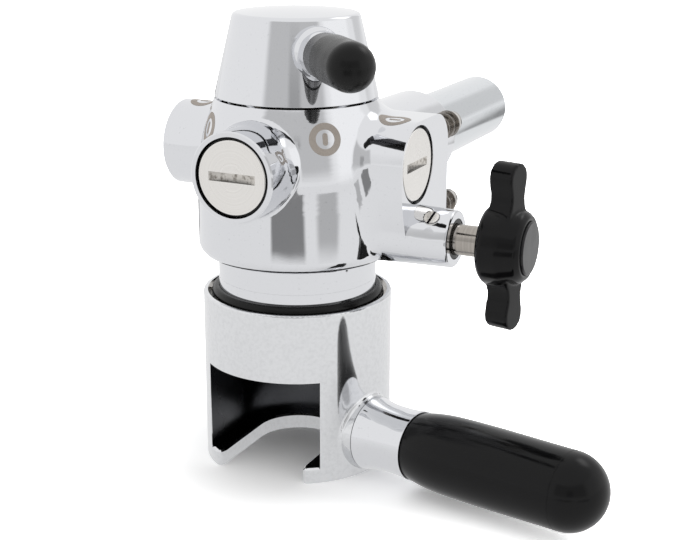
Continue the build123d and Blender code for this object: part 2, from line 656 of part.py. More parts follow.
# Slotted plugs that close the three ports, each with its O-ring groove near the face
for side, port in PORTS.items():
    with BuildPart() as plug:
        turn(port, [
            (PLUG_SHANK_BACK - PLUG_NOSE, 0),
            (PLUG_SHANK_BACK - PLUG_NOSE, PLUG_NOSE_R),
            (PLUG_SHANK_BACK, PLUG_NOSE_R),
            (PLUG_SHANK_BACK, PLUG_SHANK_R),
            (PLUG_HEAD_BACK + TIGHT, PLUG_SHANK_R),
            (PLUG_HEAD_BACK + TIGHT, PLUG_R),
            (PLUG_FACE - PLUG_EDGE, PLUG_R),
            (PLUG_FACE, PLUG_R - PLUG_EDGE),
            (PLUG_FACE, 0),
        ])
        groove_floor = PLUG_RIM_R - 2 * CORD_R - TIGHT
        groove_start = PLUG_SEAL_AT - CORD_R - TIGHT
        groove_end = PLUG_SEAL_AT + CORD_R + TIGHT
        turn(port, sleeve(groove_start, groove_end, groove_floor, PLUG_R + OVERRUN), Mode.SUBTRACT)
        cut_slot(end_plane(port, PLUG_FACE), SLOT_L, SLOT_W, SLOT_DEPTH)
    keep(plug, f"{side}_plug")
    with BuildPart() as plug_o_ring:
        turn_cord(port, PLUG_SEAL_AT, PLUG_RIM_R - CORD_R - TIGHT / 2, CORD_R - TIGHT / 2)
    keep(plug_o_ring, f"{side}_plug_o_ring")
    # Seat whose inner end is cut to the rotor's round
    with BuildPart() as seat:
        turn(port, sleeve(SEAT_START, SEAT_END, GAS_R, SEAT_R))
        turn(UP, bar(ROTOR_FOOT, ROTOR_TOP, ROTOR_R + RUN), Mode.SUBTRACT)
    keep(seat, f"{side}_seat")
    # Two cone washers back to back between the seat and the plug
    with BuildPart() as springs:
        first = SEAT_END + TIGHT
        rim = first + SPRING_CONE
        turn(port, [
            (first, SPRING_HOLE),
            (rim, SPRING_R),
            (rim + SPRING_T, SPRING_R),
            (first + SPRING_T, SPRING_HOLE),
        ])
        last = PLUG_SHANK_BACK - TIGHT
        rim = last - SPRING_CONE
        turn(port, [
            (last, SPRING_HOLE),
            (rim, SPRING_R),
            (rim - SPRING_T, SPRING_R),
            (last - SPRING_T, SPRING_HOLE),
        ])
    keep(springs, f"{side}_spring_washers")

# Wine pipe at the back, stepped down inside the boss, its seals and its lock screw
with BuildPart() as rear_pipe:
    turn(REAR, [
        (PIPE_START + TIGHT, PIPE_R - PIPE_WALL),
        (PIPE_START + TIGHT, PIPE_SEAT_R),
        (REAR_END + TIGHT, PIPE_SEAT_R),
        (REAR_END + TIGHT, PIPE_R),
        (PIPE_END, PIPE_R),
        (PIPE_END, PIPE_R - PIPE_WALL),
    ])
    end_edges = rear_pipe.faces().sort_by(Axis.Y)[-1].edges()
    fillet(end_edges, PIPE_WALL / 3)
keep(rear_pipe, "rear_pipe")

with BuildPart() as pipe_o_rings:
    for seal_y in PIPE_SEALS:
        turn_cord(REAR, seal_y, PIPE_SEAT_R + CORD_R, CORD_R - TIGHT)
keep(pipe_o_rings, "pipe_o_rings")

with BuildPart() as pipe_lock_screw:
    screw_end = PIPE_SEAT_R + TIGHT + PIPE_LOCK_L
    turn(PIPE_LOCK, bar(PIPE_SEAT_R + TIGHT, screw_end, PIPE_LOCK_R))
    with BuildSketch(end_plane(PIPE_LOCK, screw_end)):
        RegularPolygon(HEX_SIZE / 2, 6, major_radius=False)
    extrude(amount=-PIPE_LOCK_L / 2, mode=Mode.SUBTRACT)
keep(pipe_lock_screw, "pipe_lock_screw")

# Hose barbs with a collar let into the block and a sharp-backed row of ridges
for height, barb_end, name in zip(BARB_HEIGHTS, BARB_ENDS, BARB_NAMES):
    axis_plane = lathe_plane((BARB_X, 0, height), heading(180))
    ridges = []
    for row in range(BARB_ROWS):
        back = barb_end - (BARB_ROWS - row) * BARB_PITCH
        ridges += [(back, BARB_ROOT_R), (back, BARB_R), (back + BARB_PITCH - BARB_LAND, BARB_ROOT_R)]
    with BuildPart() as barb:
        turn(axis_plane, [
            (BLOCK_REAR - BARB_ANCHOR, BARB_BORE),
            (BLOCK_REAR - BARB_ANCHOR, BARB_ANCHOR_R),
            (BARB_FLANGE_FACE + 2 * BARB_SEAL_R, BARB_ANCHOR_R),
            (BARB_FLANGE_FACE + 2 * BARB_SEAL_R, BARB_R),
            (BLOCK_REAR + BARB_COLLAR, BARB_R),
            (BLOCK_REAR + BARB_COLLAR, BARB_ROOT_R),
            *ridges,
            (barb_end, BARB_ROOT_R),
            (barb_end, BARB_BORE),
        ])
    keep(barb, name)

with BuildPart() as hose_barb_seals:
    for height in BARB_HEIGHTS:
        axis_plane = lathe_plane((BARB_X, 0, height), heading(180))
        seal_front = BARB_FLANGE_FACE + TIGHT
        seal_back = BARB_FLANGE_FACE + 2 * BARB_SEAL_R - TIGHT
        turn(axis_plane, sleeve(seal_front, seal_back, BARB_ANCHOR_R + TIGHT, BARB_R))
keep(hose_barb_seals, "hose_barb_seals")

# Bleed valve's gland, its wiper and its lock screw
with BuildPart() as valve_gland:
    turn(BLEED, sleeve(GLAND_START + TIGHT, GLAND_END, SHAFT_R + RUN, GLAND_R))
    turn(LOCK, bar(GLAND_R - OVERRUN, GLAND_R + OVERRUN, LOCK_SHANK_R + TIGHT), Mode.SUBTRACT)
keep(valve_gland, "valve_gland")

with BuildPart() as spindle_wiper:
    turn(BLEED, sleeve(GLAND_END + TIGHT, GLAND_FACE, SHAFT_R + RUN, GLAND_R))
keep(spindle_wiper, "spindle_wiper")

with BuildPart() as gland_lock_screw:
    turn(LOCK, [
        (LOCK_TIP, 0),
        (LOCK_TIP, LOCK_SHANK_R),
        (LOCK_SEAT + TIGHT, LOCK_SHANK_R),
        (LOCK_SEAT + TIGHT, LOCK_HEAD_R),
        (LOCK_HEAD - LOCK_EDGE, LOCK_HEAD_R),
        (LOCK_HEAD, LOCK_HEAD_R - LOCK_EDGE),
        (LOCK_HEAD, 0),
    ])
    with BuildSketch(end_plane(LOCK, LOCK_HEAD)):
        Rectangle(LOCK_SLOT_L, LOCK_SLOT_W, rotation=90 + LOCK_SLOT_TURN)
    extrude(amount=-LOCK_SLOT_DEPTH, mode=Mode.SUBTRACT)
keep(gland_lock_screw, "gland_lock_screw")

# Retainer over the rotor, with spanner holes and grooves for the spindle's seals
with BuildPart() as rotor_retainer:
    turn(UP, sleeve(CHAMBER_TOP + TIGHT, BODY_TOP, SPINDLE_R + RUN, RETAINER_R))
    with BuildSketch(Plane.XY.offset(BODY_TOP)):
        with PolarLocations(RETAINER_PIN_AT, 2):
            Circle(RETAINER_PIN_R)
    extrude(amount=-RETAINER_PIN_DEPTH, mode=Mode.SUBTRACT)
keep(rotor_retainer, "rotor_retainer")

with BuildPart() as thrust_washer:
    turn(UP, sleeve(ROTOR_TOP + RUN, CHAMBER_TOP - RUN, SPINDLE_R + 2 * RUN, ROTOR_R))
keep(thrust_washer, "thrust_washer")

with BuildPart() as stop_pin:
    with BuildSketch(Plane.XY.offset(STOP_FOOT + TIGHT) * Pos(*(heading(STOP_ANGLE) * STOP_AT))):
        Circle(STOP_R)
    extrude(amount=STOP_TOP - STOP_FOOT)
keep(stop_pin, "stop_pin")

# Rotor: upright bore and wine port below, gas port above, square socket at the top
with BuildPart() as valve_rotor:
    turn(UP, bar(ROTOR_FOOT, ROTOR_TOP, ROTOR_R))
    turn(UP, bar(ROTOR_FOOT, PORT_Z + GAS_R / 2, OUTLET_R), Mode.SUBTRACT)
    wine_port = lathe_plane((0, 0, REAR_Z), heading(LEVER_ANGLE + DRINK_TURN))
    turn(wine_port, bar(0, ROTOR_R + OVERRUN, INLET_R), Mode.SUBTRACT)
    gas_port = lathe_plane((0, 0, PORT_Z), heading(LEVER_ANGLE))
    turn(gas_port, bar(0, ROTOR_R + OVERRUN, GAS_R), Mode.SUBTRACT)
    with BuildSketch(Plane.XY.offset(ROTOR_TOP)):
        Rectangle(TANG_W + 2 * RUN, TANG_W + 2 * RUN, rotation=LEVER_ANGLE)
    extrude(amount=-TANG_H, mode=Mode.SUBTRACT)
keep(valve_rotor, "valve_rotor")

with BuildPart() as cap_spindle:
    turn(UP, bar(ROTOR_TOP, SPINDLE_TOP, SPINDLE_R))
    with BuildSketch(Plane.XY.offset(ROTOR_TOP)):
        Rectangle(TANG_W, TANG_W, rotation=LEVER_ANGLE)
        Circle(SPINDLE_R, mode=Mode.INTERSECT)
    extrude(amount=TIGHT - TANG_H)
    for seal_z in SPINDLE_SEAL_Z:
        foot = seal_z - SEAL_GROOVE_H
        top = seal_z + SEAL_GROOVE_H
        turn(UP, sleeve(foot, top, SPINDLE_R - SEAL_GROOVE_DEPTH, SPINDLE_R + OVERRUN), Mode.SUBTRACT)
    turn(LEVER, bar(LEVER_ROD_START - TIGHT, SPINDLE_R + OVERRUN, LEVER_ROD_R + TIGHT), Mode.SUBTRACT)
keep(cap_spindle, "cap_spindle")

with BuildPart() as spindle_o_rings:
    for seal_z in SPINDLE_SEAL_Z:
        turn_cord(UP, seal_z, SPINDLE_R - SEAL_CORD_IN, SEAL_CORD)
keep(spindle_o_rings, "spindle_o_rings")

# Cap: thin cone with a domed top, a hub on the spindle and a stop lug under its rim
with BuildPart() as cap_cover:
    with BuildSketch(Plane.XZ):
        with BuildLine():
            Line((0, CAP_FOOT), (CAP_FOOT_R, CAP_FOOT))
            Line((CAP_FOOT_R, CAP_FOOT), (CAP_TOP_R, CAP_TOP))
            TangentArc((0, CAP_TOP + CAP_CROWN), (CAP_TOP_R, CAP_TOP), tangent=(1, 0))
            Line((0, CAP_TOP + CAP_CROWN), (0, CAP_FOOT))
        make_face()
    revolve(axis=Axis.Z)
    rims = cap_cover.edges().filter_by(lambda edge: edge.is_closed)
    fillet(rims.sort_by(Axis.Z)[-1], CAP_EDGE)
    roof_r = CAP_FOOT_R - CAP_WALL - CONE_RUN * (CAP_ROOF - CAP_FOOT)
    turn(UP, [
        (CAP_FOOT, HUB_R),
        (CAP_FOOT, CAP_FOOT_R - CAP_WALL),
        (CAP_ROOF, roof_r),
        (CAP_ROOF, HUB_R),
    ], Mode.SUBTRACT)
    turn(UP, bar(CAP_FOOT, HUB_FOOT, HUB_R + OVERRUN), Mode.SUBTRACT)
    turn(UP, bar(CAP_FOOT, SPINDLE_TOP + TIGHT, SPINDLE_R + TIGHT), Mode.SUBTRACT)
    turn(LEVER, bar(0, CAP_FOOT_R, LEVER_ROD_R + TIGHT), Mode.SUBTRACT)
    lug_start = heading(LEVER_ANGLE - STOP_LUG_SPAN / 2)
    with BuildSketch(Plane(origin=(0, 0, CAP_FOOT), x_dir=lug_start, z_dir=(0, 0, 1))):
        with BuildLine():
            outer = CAP_FOOT_R - CAP_WALL / 2
            far = Vector(1, 0).rotate(Axis.Z, STOP_LUG_SPAN)
            Line((STOP_LUG_IN, 0), (outer, 0))
            CenterArc((0, 0), outer, 0, STOP_LUG_SPAN)
            Line(far * outer, far * STOP_LUG_IN)
            CenterArc((0, 0), STOP_LUG_IN, 0, STOP_LUG_SPAN)
        make_face()
    extrude(amount=STOP_LUG_TOP - CAP_FOOT)
keep(cap_cover, "cap_cover")

# Lever: flared ring seated on the cone, dark collar, rod through the hub and rubber grip
with BuildPart() as lever_base_ring:
    turn(LEVER, [
        (LEVER_BASE, LEVER_ROD_R + TIGHT),
        (LEVER_BASE, LEVER_BASE_R),
        (LEVER_FLARE, LEVER_BASE_R),
        (LEVER_EASE_END, LEVER_EASE_R),
        (LEVER_RING_END, LEVER_NECK_R),
        (LEVER_RING_END, LEVER_ROD_R + TIGHT),
    ])
    above = CAP_TOP + OVERRUN
    turn(UP, [
        (CAP_FOOT, 0),
        (CAP_FOOT, CAP_FOOT_R + TIGHT),
        (above, CAP_FOOT_R + TIGHT - CONE_RUN * (above - CAP_FOOT)),
        (above, 0),
    ], Mode.SUBTRACT)
keep(lever_base_ring, "lever_base_ring")

with BuildPart() as lever_collar:
    turn(LEVER, sleeve(LEVER_RING_END + TIGHT, LEVER_COLLAR_END, LEVER_ROD_R + TIGHT, LEVER_COLLAR_R))
keep(lever_collar, "lever_collar")

with BuildPart() as lever_rod:
    turn(LEVER, bar(LEVER_ROD_START, LEVER_ROD_END, LEVER_ROD_R))
keep(lever_rod, "lever_rod")

with BuildPart() as lever_grip:
    with BuildSketch(LEVER) as grip_outline:
        with BuildLine():
            dome = LEVER_TIP - LEVER_GRIP_R
            Line((LEVER_COLLAR_END + TIGHT, 0), (LEVER_COLLAR_END + TIGHT, LEVER_GRIP_R))
            Line((LEVER_COLLAR_END + TIGHT, LEVER_GRIP_R), (dome, LEVER_GRIP_R))
            TangentArc((dome, LEVER_GRIP_R), (LEVER_TIP, 0), tangent=(1, 0))
            Line((LEVER_TIP, 0), (LEVER_COLLAR_END + TIGHT, 0))
        make_face()
    revolve(axis=Axis(LEVER.origin, LEVER.x_dir))
    turn(LEVER, bar(LEVER_COLLAR_END, LEVER_ROD_END + TIGHT, LEVER_ROD_R + TIGHT), Mode.SUBTRACT)
keep(lever_grip, "lever_grip")

# Guide ring that climbs the neck without turning
with BuildPart() as guide_ring:
    turn(UP, sleeve(GUIDE_FOOT, GUIDE_TOP, NECK_R + RUN, CUP_R - RUN))
    for angle in KEY_ANGLES:
        with BuildSketch(Plane(origin=(0, 0, GUIDE_FOOT), x_dir=heading(angle), z_dir=(0, 0, 1))):
            with Locations((NECK_R + OVERRUN / 2 - KEY_DEPTH / 2, 0)):
                Rectangle(KEY_DEPTH + OVERRUN, KEY_W)
        extrude(amount=KEY_H)
keep(guide_ring, "guide_ring")

with BuildPart() as dust_wiper:
    turn(UP, [
        (GUIDE_TOP + TIGHT, NECK_R + 2 * RUN),
        (GUIDE_TOP + TIGHT, WIPER_R),
        (GUIDE_TOP + WIPER_H - WIPER_LIP, WIPER_R),
        (GUIDE_TOP + WIPER_H, NECK_R + WIPER_LIP),
        (GUIDE_TOP + WIPER_H, NECK_R + 2 * RUN),
    ])
keep(dust_wiper, "dust_wiper")

# Clamp ring: bottle pocket with its ledge, bore on the neck, cup for the guide and handle boss
with BuildPart() as clamp_ring:
    turn(UP, bar(0, RING_H, RING_R))
    fillet(clamp_ring.edges().sort_by(Axis.Z)[-1], RING_EDGE)
    handle_boss = bar(BOSS_START, BOSS_END, BOSS_R)
    turn(HANDLE, handle_boss)
    fillet(clamp_ring.edges(Select.NEW), BOSS_BLEND)
    turn(HANDLE, bar(STUD_START - TIGHT, BOSS_END, STUD_R + TIGHT), Mode.SUBTRACT)
    turn(UP, bar(WINDOW_TOP - OVERRUN, CEILING_TOP, POCKET_R), Mode.SUBTRACT)
    turn(UP, bar(CEILING_TOP, RING_H - CUP_DEPTH, NECK_R + RUN), Mode.SUBTRACT)
    turn(UP, bar(RING_H - CUP_DEPTH, RING_H, CUP_R), Mode.SUBTRACT)
    snap_foot = GUIDE_TOP + TIGHT
    turn(UP, sleeve(snap_foot, snap_foot + SNAP_T + TIGHT, CUP_R - OVERRUN, CUP_R + SNAP_DEPTH), Mode.SUBTRACT)
    # Pocket: straight sides at the front and a half round at the back
    with BuildSketch(Plane.XY.offset(LEDGE_H)):
        Circle(POCKET_R)
        with Locations((0, -RING_R)):
            Rectangle(2 * POCKET_R, 2 * RING_R)
    extrude(amount=WINDOW_TOP - LEDGE_H, mode=Mode.SUBTRACT)
    # Slot through the ledge, flared at its mouth
    with BuildSketch(Plane.XY) as slot_outline:
        Circle(SLOT_R)
        with BuildLine():
            Polyline(
                (-SLOT_R, 0),
                (-SLOT_R, MOUTH_FLARE - RING_R),
                (-SLOT_MOUTH, -RING_R),
                (SLOT_MOUTH, -RING_R),
                (SLOT_R, MOUTH_FLARE - RING_R),
                (SLOT_R, 0),
                close=True,
            )
        make_face()
    extrude(amount=LEDGE_H, mode=Mode.SUBTRACT)
    tips = clamp_ring.edges().filter_by(Axis.Z).filter_by(lambda edge: edge.center().Z < LEDGE_H)
    fillet(tips.filter_by(lambda edge: edge.center().Y < MOUTH_FLARE - RING_R), TIP_EDGE)
    ledge_edges = clamp_ring.edges().filter_by_position(Axis.Z, LEDGE_H - FREE, LEDGE_H + FREE)
    slot_edges = ledge_edges.filter_by(lambda edge: abs(edge.center().X) < (SLOT_MOUTH + POCKET_R) / 2)
    chamfer(slot_edges.filter_by(lambda edge: edge.center().Y < SLOT_R + FREE), SLOT_EDGE)
    for angle in CAM_ANGLES:
        cam_axis = lathe_plane((0, 0, CAM_Z), heading(angle))
        turn(cam_axis, bar(NECK_R - OVERRUN, RING_R + OVERRUN, CAM_BODY_R + TIGHT), Mode.SUBTRACT)
keep(clamp_ring, "clamp_ring")

with BuildPart() as snap_ring:
    turn(UP, sleeve(snap_foot + TIGHT, snap_foot + SNAP_T, SNAP_IN, CUP_R + SNAP_DEPTH - TIGHT))
    with BuildSketch(Plane(origin=(0, 0, snap_foot), x_dir=heading(SNAP_AT), z_dir=(0, 0, 1))):
        with Locations((CUP_R, 0)):
            Rectangle(CUP_R - SNAP_IN + 2 * OVERRUN, SNAP_GAP)
    extrude(amount=SNAP_T + OVERRUN, mode=Mode.SUBTRACT)
keep(snap_ring, "snap_ring")

# Cam screws, set flush in the ring with their noses in the neck's grooves
with BuildPart() as cam_screws:
    for angle in CAM_ANGLES:
        cam_axis = lathe_plane((0, 0, CAM_Z), heading(angle))
        nose = NECK_R - CAM_DEPTH + FREE
        face = RING_R - CAM_SET_IN
        turn(cam_axis, [
            (nose, 0),
            (nose, CAM_R),
            (NECK_R + 2 * RUN, CAM_R),
            (NECK_R + 2 * RUN, CAM_BODY_R),
            (face, CAM_BODY_R),
            (face, 0),
        ])
        cut_slot(end_plane(cam_axis, face), 2 * CAM_BODY_R - OVERRUN, CAM_SLOT_W, CAM_SLOT_DEPTH)
keep(cam_screws, "cam_screws")

# Handle: threaded stud, chrome collar and black grip
with BuildPart() as handle_stud:
    turn(HANDLE, bar(STUD_START, STUD_END, STUD_R))
keep(handle_stud, "handle_stud")

with BuildPart() as handle_collar:
    with BuildSketch(HANDLE) as collar_outline:
        with BuildLine():
            collar_start = BOSS_END + TIGHT
            Line((collar_start, STUD_R + TIGHT), (collar_start, BOSS_R))
            Spline(
                (collar_start, BOSS_R),
                (COLLAR_WAIST_AT, COLLAR_WAIST_R),
                (COLLAR_END, COLLAR_RIM_R),
                tangents=((1, -0.3), (1, 0.1)),
            )
            Line((COLLAR_END, COLLAR_RIM_R), (COLLAR_END, STUD_R + TIGHT))
            Line((COLLAR_END, STUD_R + TIGHT), (collar_start, STUD_R + TIGHT))
        make_face()
    revolve(axis=Axis(HANDLE.origin, HANDLE.x_dir))
keep(handle_collar, "handle_collar")

with BuildPart() as handle_grip:
    with BuildSketch(HANDLE) as grip_outline:
        with BuildLine():
            grip_start = COLLAR_END + TIGHT
            dome = GRIP_TIP - GRIP_TIP_R
            Line((grip_start, 0), (grip_start, GRIP_START_R))
            Spline(
                (grip_start, GRIP_START_R),
                (GRIP_SWELL, GRIP_R),
                (dome, GRIP_TIP_R),
                tangents=((1, 0.25), (1, 0)),
            )
            TangentArc((dome, GRIP_TIP_R), (GRIP_TIP, 0), tangent=(1, 0))
            Line((GRIP_TIP, 0), (grip_start, 0))
        make_face()
    revolve(axis=Axis(HANDLE.origin, HANDLE.x_dir))
    turn(HANDLE, bar(COLLAR_END, STUD_END + TIGHT, STUD_R + TIGHT), Mode.SUBTRACT)
keep(handle_grip, "handle_grip")

# Jumper of the bleed valve with its sealing washer
with BuildPart() as valve_jumper:
    disc = BLEED_SEAT_X + JUMPER_WASHER_T + TIGHT
    turn(BLEED, [
        (disc, 0),
        (disc, JUMPER_R),
        (disc + JUMPER_T, JUMPER_R),
        (disc + JUMPER_T, JUMPER_STEM_R),
        (JUMPER_STEM_END, JUMPER_STEM_R),
        (JUMPER_STEM_END, 0),
    ])
keep(valve_jumper, "valve_jumper")

with BuildPart() as jumper_washer:
    turn(BLEED, bar(BLEED_SEAT_X + TIGHT, BLEED_SEAT_X + JUMPER_WASHER_T, JUMPER_WASHER_R))
keep(jumper_washer, "jumper_washer")

# Bleed spindle: blind hole for the jumper's stem, seal groove, flat-sided tip for the knob
with BuildPart() as bleed_spindle:
    turn(BLEED, [
        (STEM_START, JUMPER_STEM_R + RUN),
        (STEM_START, STEM_R),
        (SHAFT_START, STEM_R),
        (SHAFT_START, SHAFT_R),
        (SHAFT_STEP, SHAFT_R),
        (SHAFT_STEP, SHAFT_TIP_R),
        (SHAFT_END, SHAFT_TIP_R),
        (SHAFT_END, 0),
        (JUMPER_STEM_END + FREE, 0),
        (JUMPER_STEM_END + FREE, JUMPER_STEM_R + RUN),
    ])
    groove_start = SHAFT_SEAL_X - SEAL_GROOVE_H
    groove_end = SHAFT_SEAL_X + SEAL_GROOVE_H
    turn(BLEED, sleeve(groove_start, groove_end, SHAFT_R - SEAL_GROOVE_DEPTH, SHAFT_R + OVERRUN), Mode.SUBTRACT)
    turn(BLEED, bar(SHAFT_END - KNOB_TAP, SHAFT_END, KNOB_THREAD_R + TIGHT), Mode.SUBTRACT)
keep(bleed_spindle, "bleed_spindle")

with BuildPart() as bleed_spindle_o_ring:
    turn_cord(BLEED, SHAFT_SEAL_X, SHAFT_R - SEAL_CORD_IN, SEAL_CORD)
keep(bleed_spindle_o_ring, "bleed_spindle_o_ring")

# Wing knob: round hub with two waisted wings that lean off the upright
knob_end = KNOB_X + KNOB_T
screw_seat = SHAFT_END + KNOB_WEB
with BuildPart() as wing_knob:
    turn(BLEED, [
        (KNOB_X, 0),
        (KNOB_X, KNOB_HUB_R - KNOB_EDGE),
        (KNOB_X + KNOB_EDGE, KNOB_HUB_R),
        (KNOB_X + KNOB_T / 2, KNOB_HUB_R),
        (knob_end - KNOB_EDGE, KNOB_FACE_R + KNOB_EDGE),
        (knob_end, KNOB_FACE_R),
        (knob_end, 0),
    ])
    wing_plane = Plane(origin=(WING_X - WING_T / 2, 0, BLEED_Z), x_dir=(0, 1, 0), z_dir=(1, 0, 0))
    with BuildSketch(wing_plane.rotated((0, 0, -WING_LEAN))) as wings:
        with BuildLine():
            tip = KNOB_SPAN_R - KNOB_BULB
            right_side = Spline(
                (WING_FOOT, 0),
                (WING_SHOULDER, WING_SHOULDER_AT),
                (KNOB_WAIST, KNOB_WAIST_AT),
                (KNOB_BULB, tip),
                tangents=((0, 1), (0, 1)),
            )
            TangentArc((KNOB_BULB, tip), (-KNOB_BULB, tip), tangent=(0, 1))
            mirror(right_side, about=Plane.YZ)
            Line((-WING_FOOT, 0), (WING_FOOT, 0))
        make_face()
        mirror(about=Plane.XZ)
    extrude(amount=WING_T)
    hub_bore = [
        (KNOB_X, 0),
        (KNOB_X, SHAFT_R + TIGHT),
        (SHAFT_STEP + TIGHT, SHAFT_R + TIGHT),
        (SHAFT_STEP + TIGHT, SHAFT_TIP_R + TIGHT),
        (SHAFT_END + TIGHT, SHAFT_TIP_R + TIGHT),
        (SHAFT_END + TIGHT, KNOB_THREAD_R + TIGHT),
        (screw_seat, KNOB_THREAD_R + TIGHT),
        (screw_seat, KNOB_SCREW_R + TIGHT),
        (knob_end - KNOB_CAP_T / 2, KNOB_SCREW_R + TIGHT),
        (knob_end - KNOB_CAP_T / 2, KNOB_CAP_R + TIGHT),
        (knob_end, KNOB_CAP_R + TIGHT),
        (knob_end, 0),
    ]
    turn(BLEED, hub_bore, Mode.SUBTRACT)
keep(wing_knob, "wing_knob")

with BuildPart() as knob_screw:
    head_end = screw_seat + KNOB_SCREW_HEAD
    turn(BLEED, [
        (SHAFT_END - KNOB_SCREW_L, 0),
        (SHAFT_END - KNOB_SCREW_L, KNOB_THREAD_R),
        (screw_seat + TIGHT, KNOB_THREAD_R),
        (screw_seat + TIGHT, KNOB_SCREW_R),
        (head_end, KNOB_SCREW_R),
        (head_end, 0),
    ])
    with BuildSketch(end_plane(BLEED, head_end)):
        RegularPolygon(HEX_SIZE / 2, 6, major_radius=False)
    extrude(amount=-KNOB_SCREW_HEAD / 2, mode=Mode.SUBTRACT)
keep(knob_screw, "knob_screw")

with BuildPart() as knob_cap:
    cap_floor = knob_end - KNOB_CAP_T / 2 + TIGHT
    turn(BLEED, [
        (cap_floor, 0),
        (cap_floor, KNOB_CAP_R),
        (knob_end + KNOB_CAP_T / 2 - KNOB_CAP_EDGE, KNOB_CAP_R),
        (knob_end + KNOB_CAP_T / 2, KNOB_CAP_R - KNOB_CAP_EDGE),
        (knob_end + KNOB_CAP_T / 2, 0),
    ])
keep(knob_cap, "knob_cap")
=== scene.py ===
"""Looks of a bottle-filling wine tap: a rotary tap on a quick bottle clamp.

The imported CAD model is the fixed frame. Sizes here are real millimetres, turned into
Blender's metres where a mesh is made. +Z is up, -Y is the front where the bottle slides
in, +X is the side of the bleed valve and +Y is the back, where the wine pipe leaves.
"""

import json
import logging
import math
from dataclasses import dataclass, field
from enum import Enum
from typing import Callable, Iterable, Sequence

import bmesh
import bpy
from mathutils import Matrix, Vector
from mathutils.bvhtree import BVHTree

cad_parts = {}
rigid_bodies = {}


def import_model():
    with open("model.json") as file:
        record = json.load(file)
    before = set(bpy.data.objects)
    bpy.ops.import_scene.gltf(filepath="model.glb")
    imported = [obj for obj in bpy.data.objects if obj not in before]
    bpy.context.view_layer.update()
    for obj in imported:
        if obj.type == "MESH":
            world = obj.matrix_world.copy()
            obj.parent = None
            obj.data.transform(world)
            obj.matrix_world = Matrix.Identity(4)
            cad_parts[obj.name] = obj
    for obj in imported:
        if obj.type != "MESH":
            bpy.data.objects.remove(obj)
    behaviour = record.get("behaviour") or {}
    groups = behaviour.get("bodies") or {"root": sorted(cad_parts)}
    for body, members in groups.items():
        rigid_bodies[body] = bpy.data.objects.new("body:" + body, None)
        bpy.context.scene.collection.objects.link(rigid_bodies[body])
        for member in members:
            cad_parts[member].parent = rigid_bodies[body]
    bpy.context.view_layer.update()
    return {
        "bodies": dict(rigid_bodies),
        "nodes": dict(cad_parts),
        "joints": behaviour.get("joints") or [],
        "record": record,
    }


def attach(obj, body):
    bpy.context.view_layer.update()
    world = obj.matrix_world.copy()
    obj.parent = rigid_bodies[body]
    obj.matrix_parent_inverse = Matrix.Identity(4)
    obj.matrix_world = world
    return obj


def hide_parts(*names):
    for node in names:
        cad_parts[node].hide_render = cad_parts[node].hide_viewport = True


logging.basicConfig(level=logging.INFO, format="%(name)s: %(message)s")
LOG = logging.getLogger("wine_tap")

MM = 0.001
SHARP_ANGLE = math.radians(32)
# Where nearly all values of a soft noise lie, and of two such noises multiplied
NOISE_SPAN = (0.35, 0.65)
PRODUCT_SPAN = (0.12, 0.4)

Colour = tuple[float, float, float, float]
Tree = bpy.types.NodeTree
Source = bpy.types.Node | bpy.types.NodeSocket
# Corners in order, each with the values of a Corner
Outline = Sequence[tuple[float, ...]]

WHITE: Colour = (1.0, 1.0, 1.0, 1.0)


class Body(str, Enum):
    """The rigid bodies of the CAD model."""

    TAP = "tap_body"
    CAP = "cap"
    GUIDE = "clamp_guide"
    CLAMP = "bottle_clamp"
    JUMPER = "bleed_jumper"
    KNOB = "bleed_knob"


class Slot(str, Enum):
    """The record's material slots."""

    BRIGHT = "polished_chrome"
    SATIN = "satin_chrome"
    STEEL = "stainless_steel"
    BRASS = "brass"
    DARK = "dark_metal"
    RUBBER = "black_rubber"
    SEAL = "grey_rubber"
    BLACK = "black_plastic"
    GREY = "grey_plastic"
    WHITE = "white_plastic"


def linear(code: str) -> Colour:
    """Turns an sRGB hex colour into linear values.

    Args:
        code: six hex digits with a leading hash.

    Returns:
        Linear red, green, blue and an alpha of 1.
    """
    channels = [int(code[i : i + 2], 16) / 255 for i in (1, 3, 5)]
    red, green, blue = (
        c / 12.92 if c <= 0.04045 else ((c + 0.055) / 1.055) ** 2.4 for c in channels
    )
    return red, green, blue, 1.0


def add_node(tree: Tree, kind: str, inputs: dict | None = None, **settings) -> bpy.types.Node:
    """Adds a node, sets its properties and fills or links its sockets.

    Args:
        tree: the node tree that gets the node.
        kind: the node's Blender type name.
        inputs: socket name or number to a value, or to the socket or node that feeds it.
        **settings: properties of the node itself.

    Returns:
        The new node.
    """
    node = tree.nodes.new(kind)
    for key, value in settings.items():
        setattr(node, key, value)
    for key, value in (inputs or {}).items():
        if isinstance(value, bpy.types.Node):
            value = next(socket for socket in value.outputs if socket.enabled)
        if isinstance(value, bpy.types.NodeSocket):
            tree.links.new(value, node.inputs[key])
        else:
            node.inputs[key].default_value = value
    return node


def empty_material(name: str) -> tuple[bpy.types.Material, Tree]:
    """Makes a material without nodes.

    Args:
        name: the material's name.

    Returns:
        The material and its node tree.
    """
    material = bpy.data.materials.new(name)
    material.use_nodes = True
    material.node_tree.nodes.clear()
    return material, material.node_tree


def relief(tree: Tree, place: Source, layers: Sequence[tuple[float, float, float]]) -> Source:
    """Lays layers of soft bumps over each other.

    Args:
        tree: the node tree that gets the nodes.
        place: the Object coordinates.
        layers: width and depth of each layer's bumps in millimetres, and the noise's detail.

    Returns:
        The surface's normal.
    """
    normal = None
    for width, depth, detail in layers:
        noise = {"Vector": place, "Scale": 1 / (width * MM), "Detail": detail}
        height = add_node(tree, "ShaderNodeTexNoise", noise)
        bumps = {"Height": height, "Distance": depth * MM, "Strength": 1.0}
        if normal is not None:
            bumps["Normal"] = normal
        normal = add_node(tree, "ShaderNodeBump", bumps)
    return normal


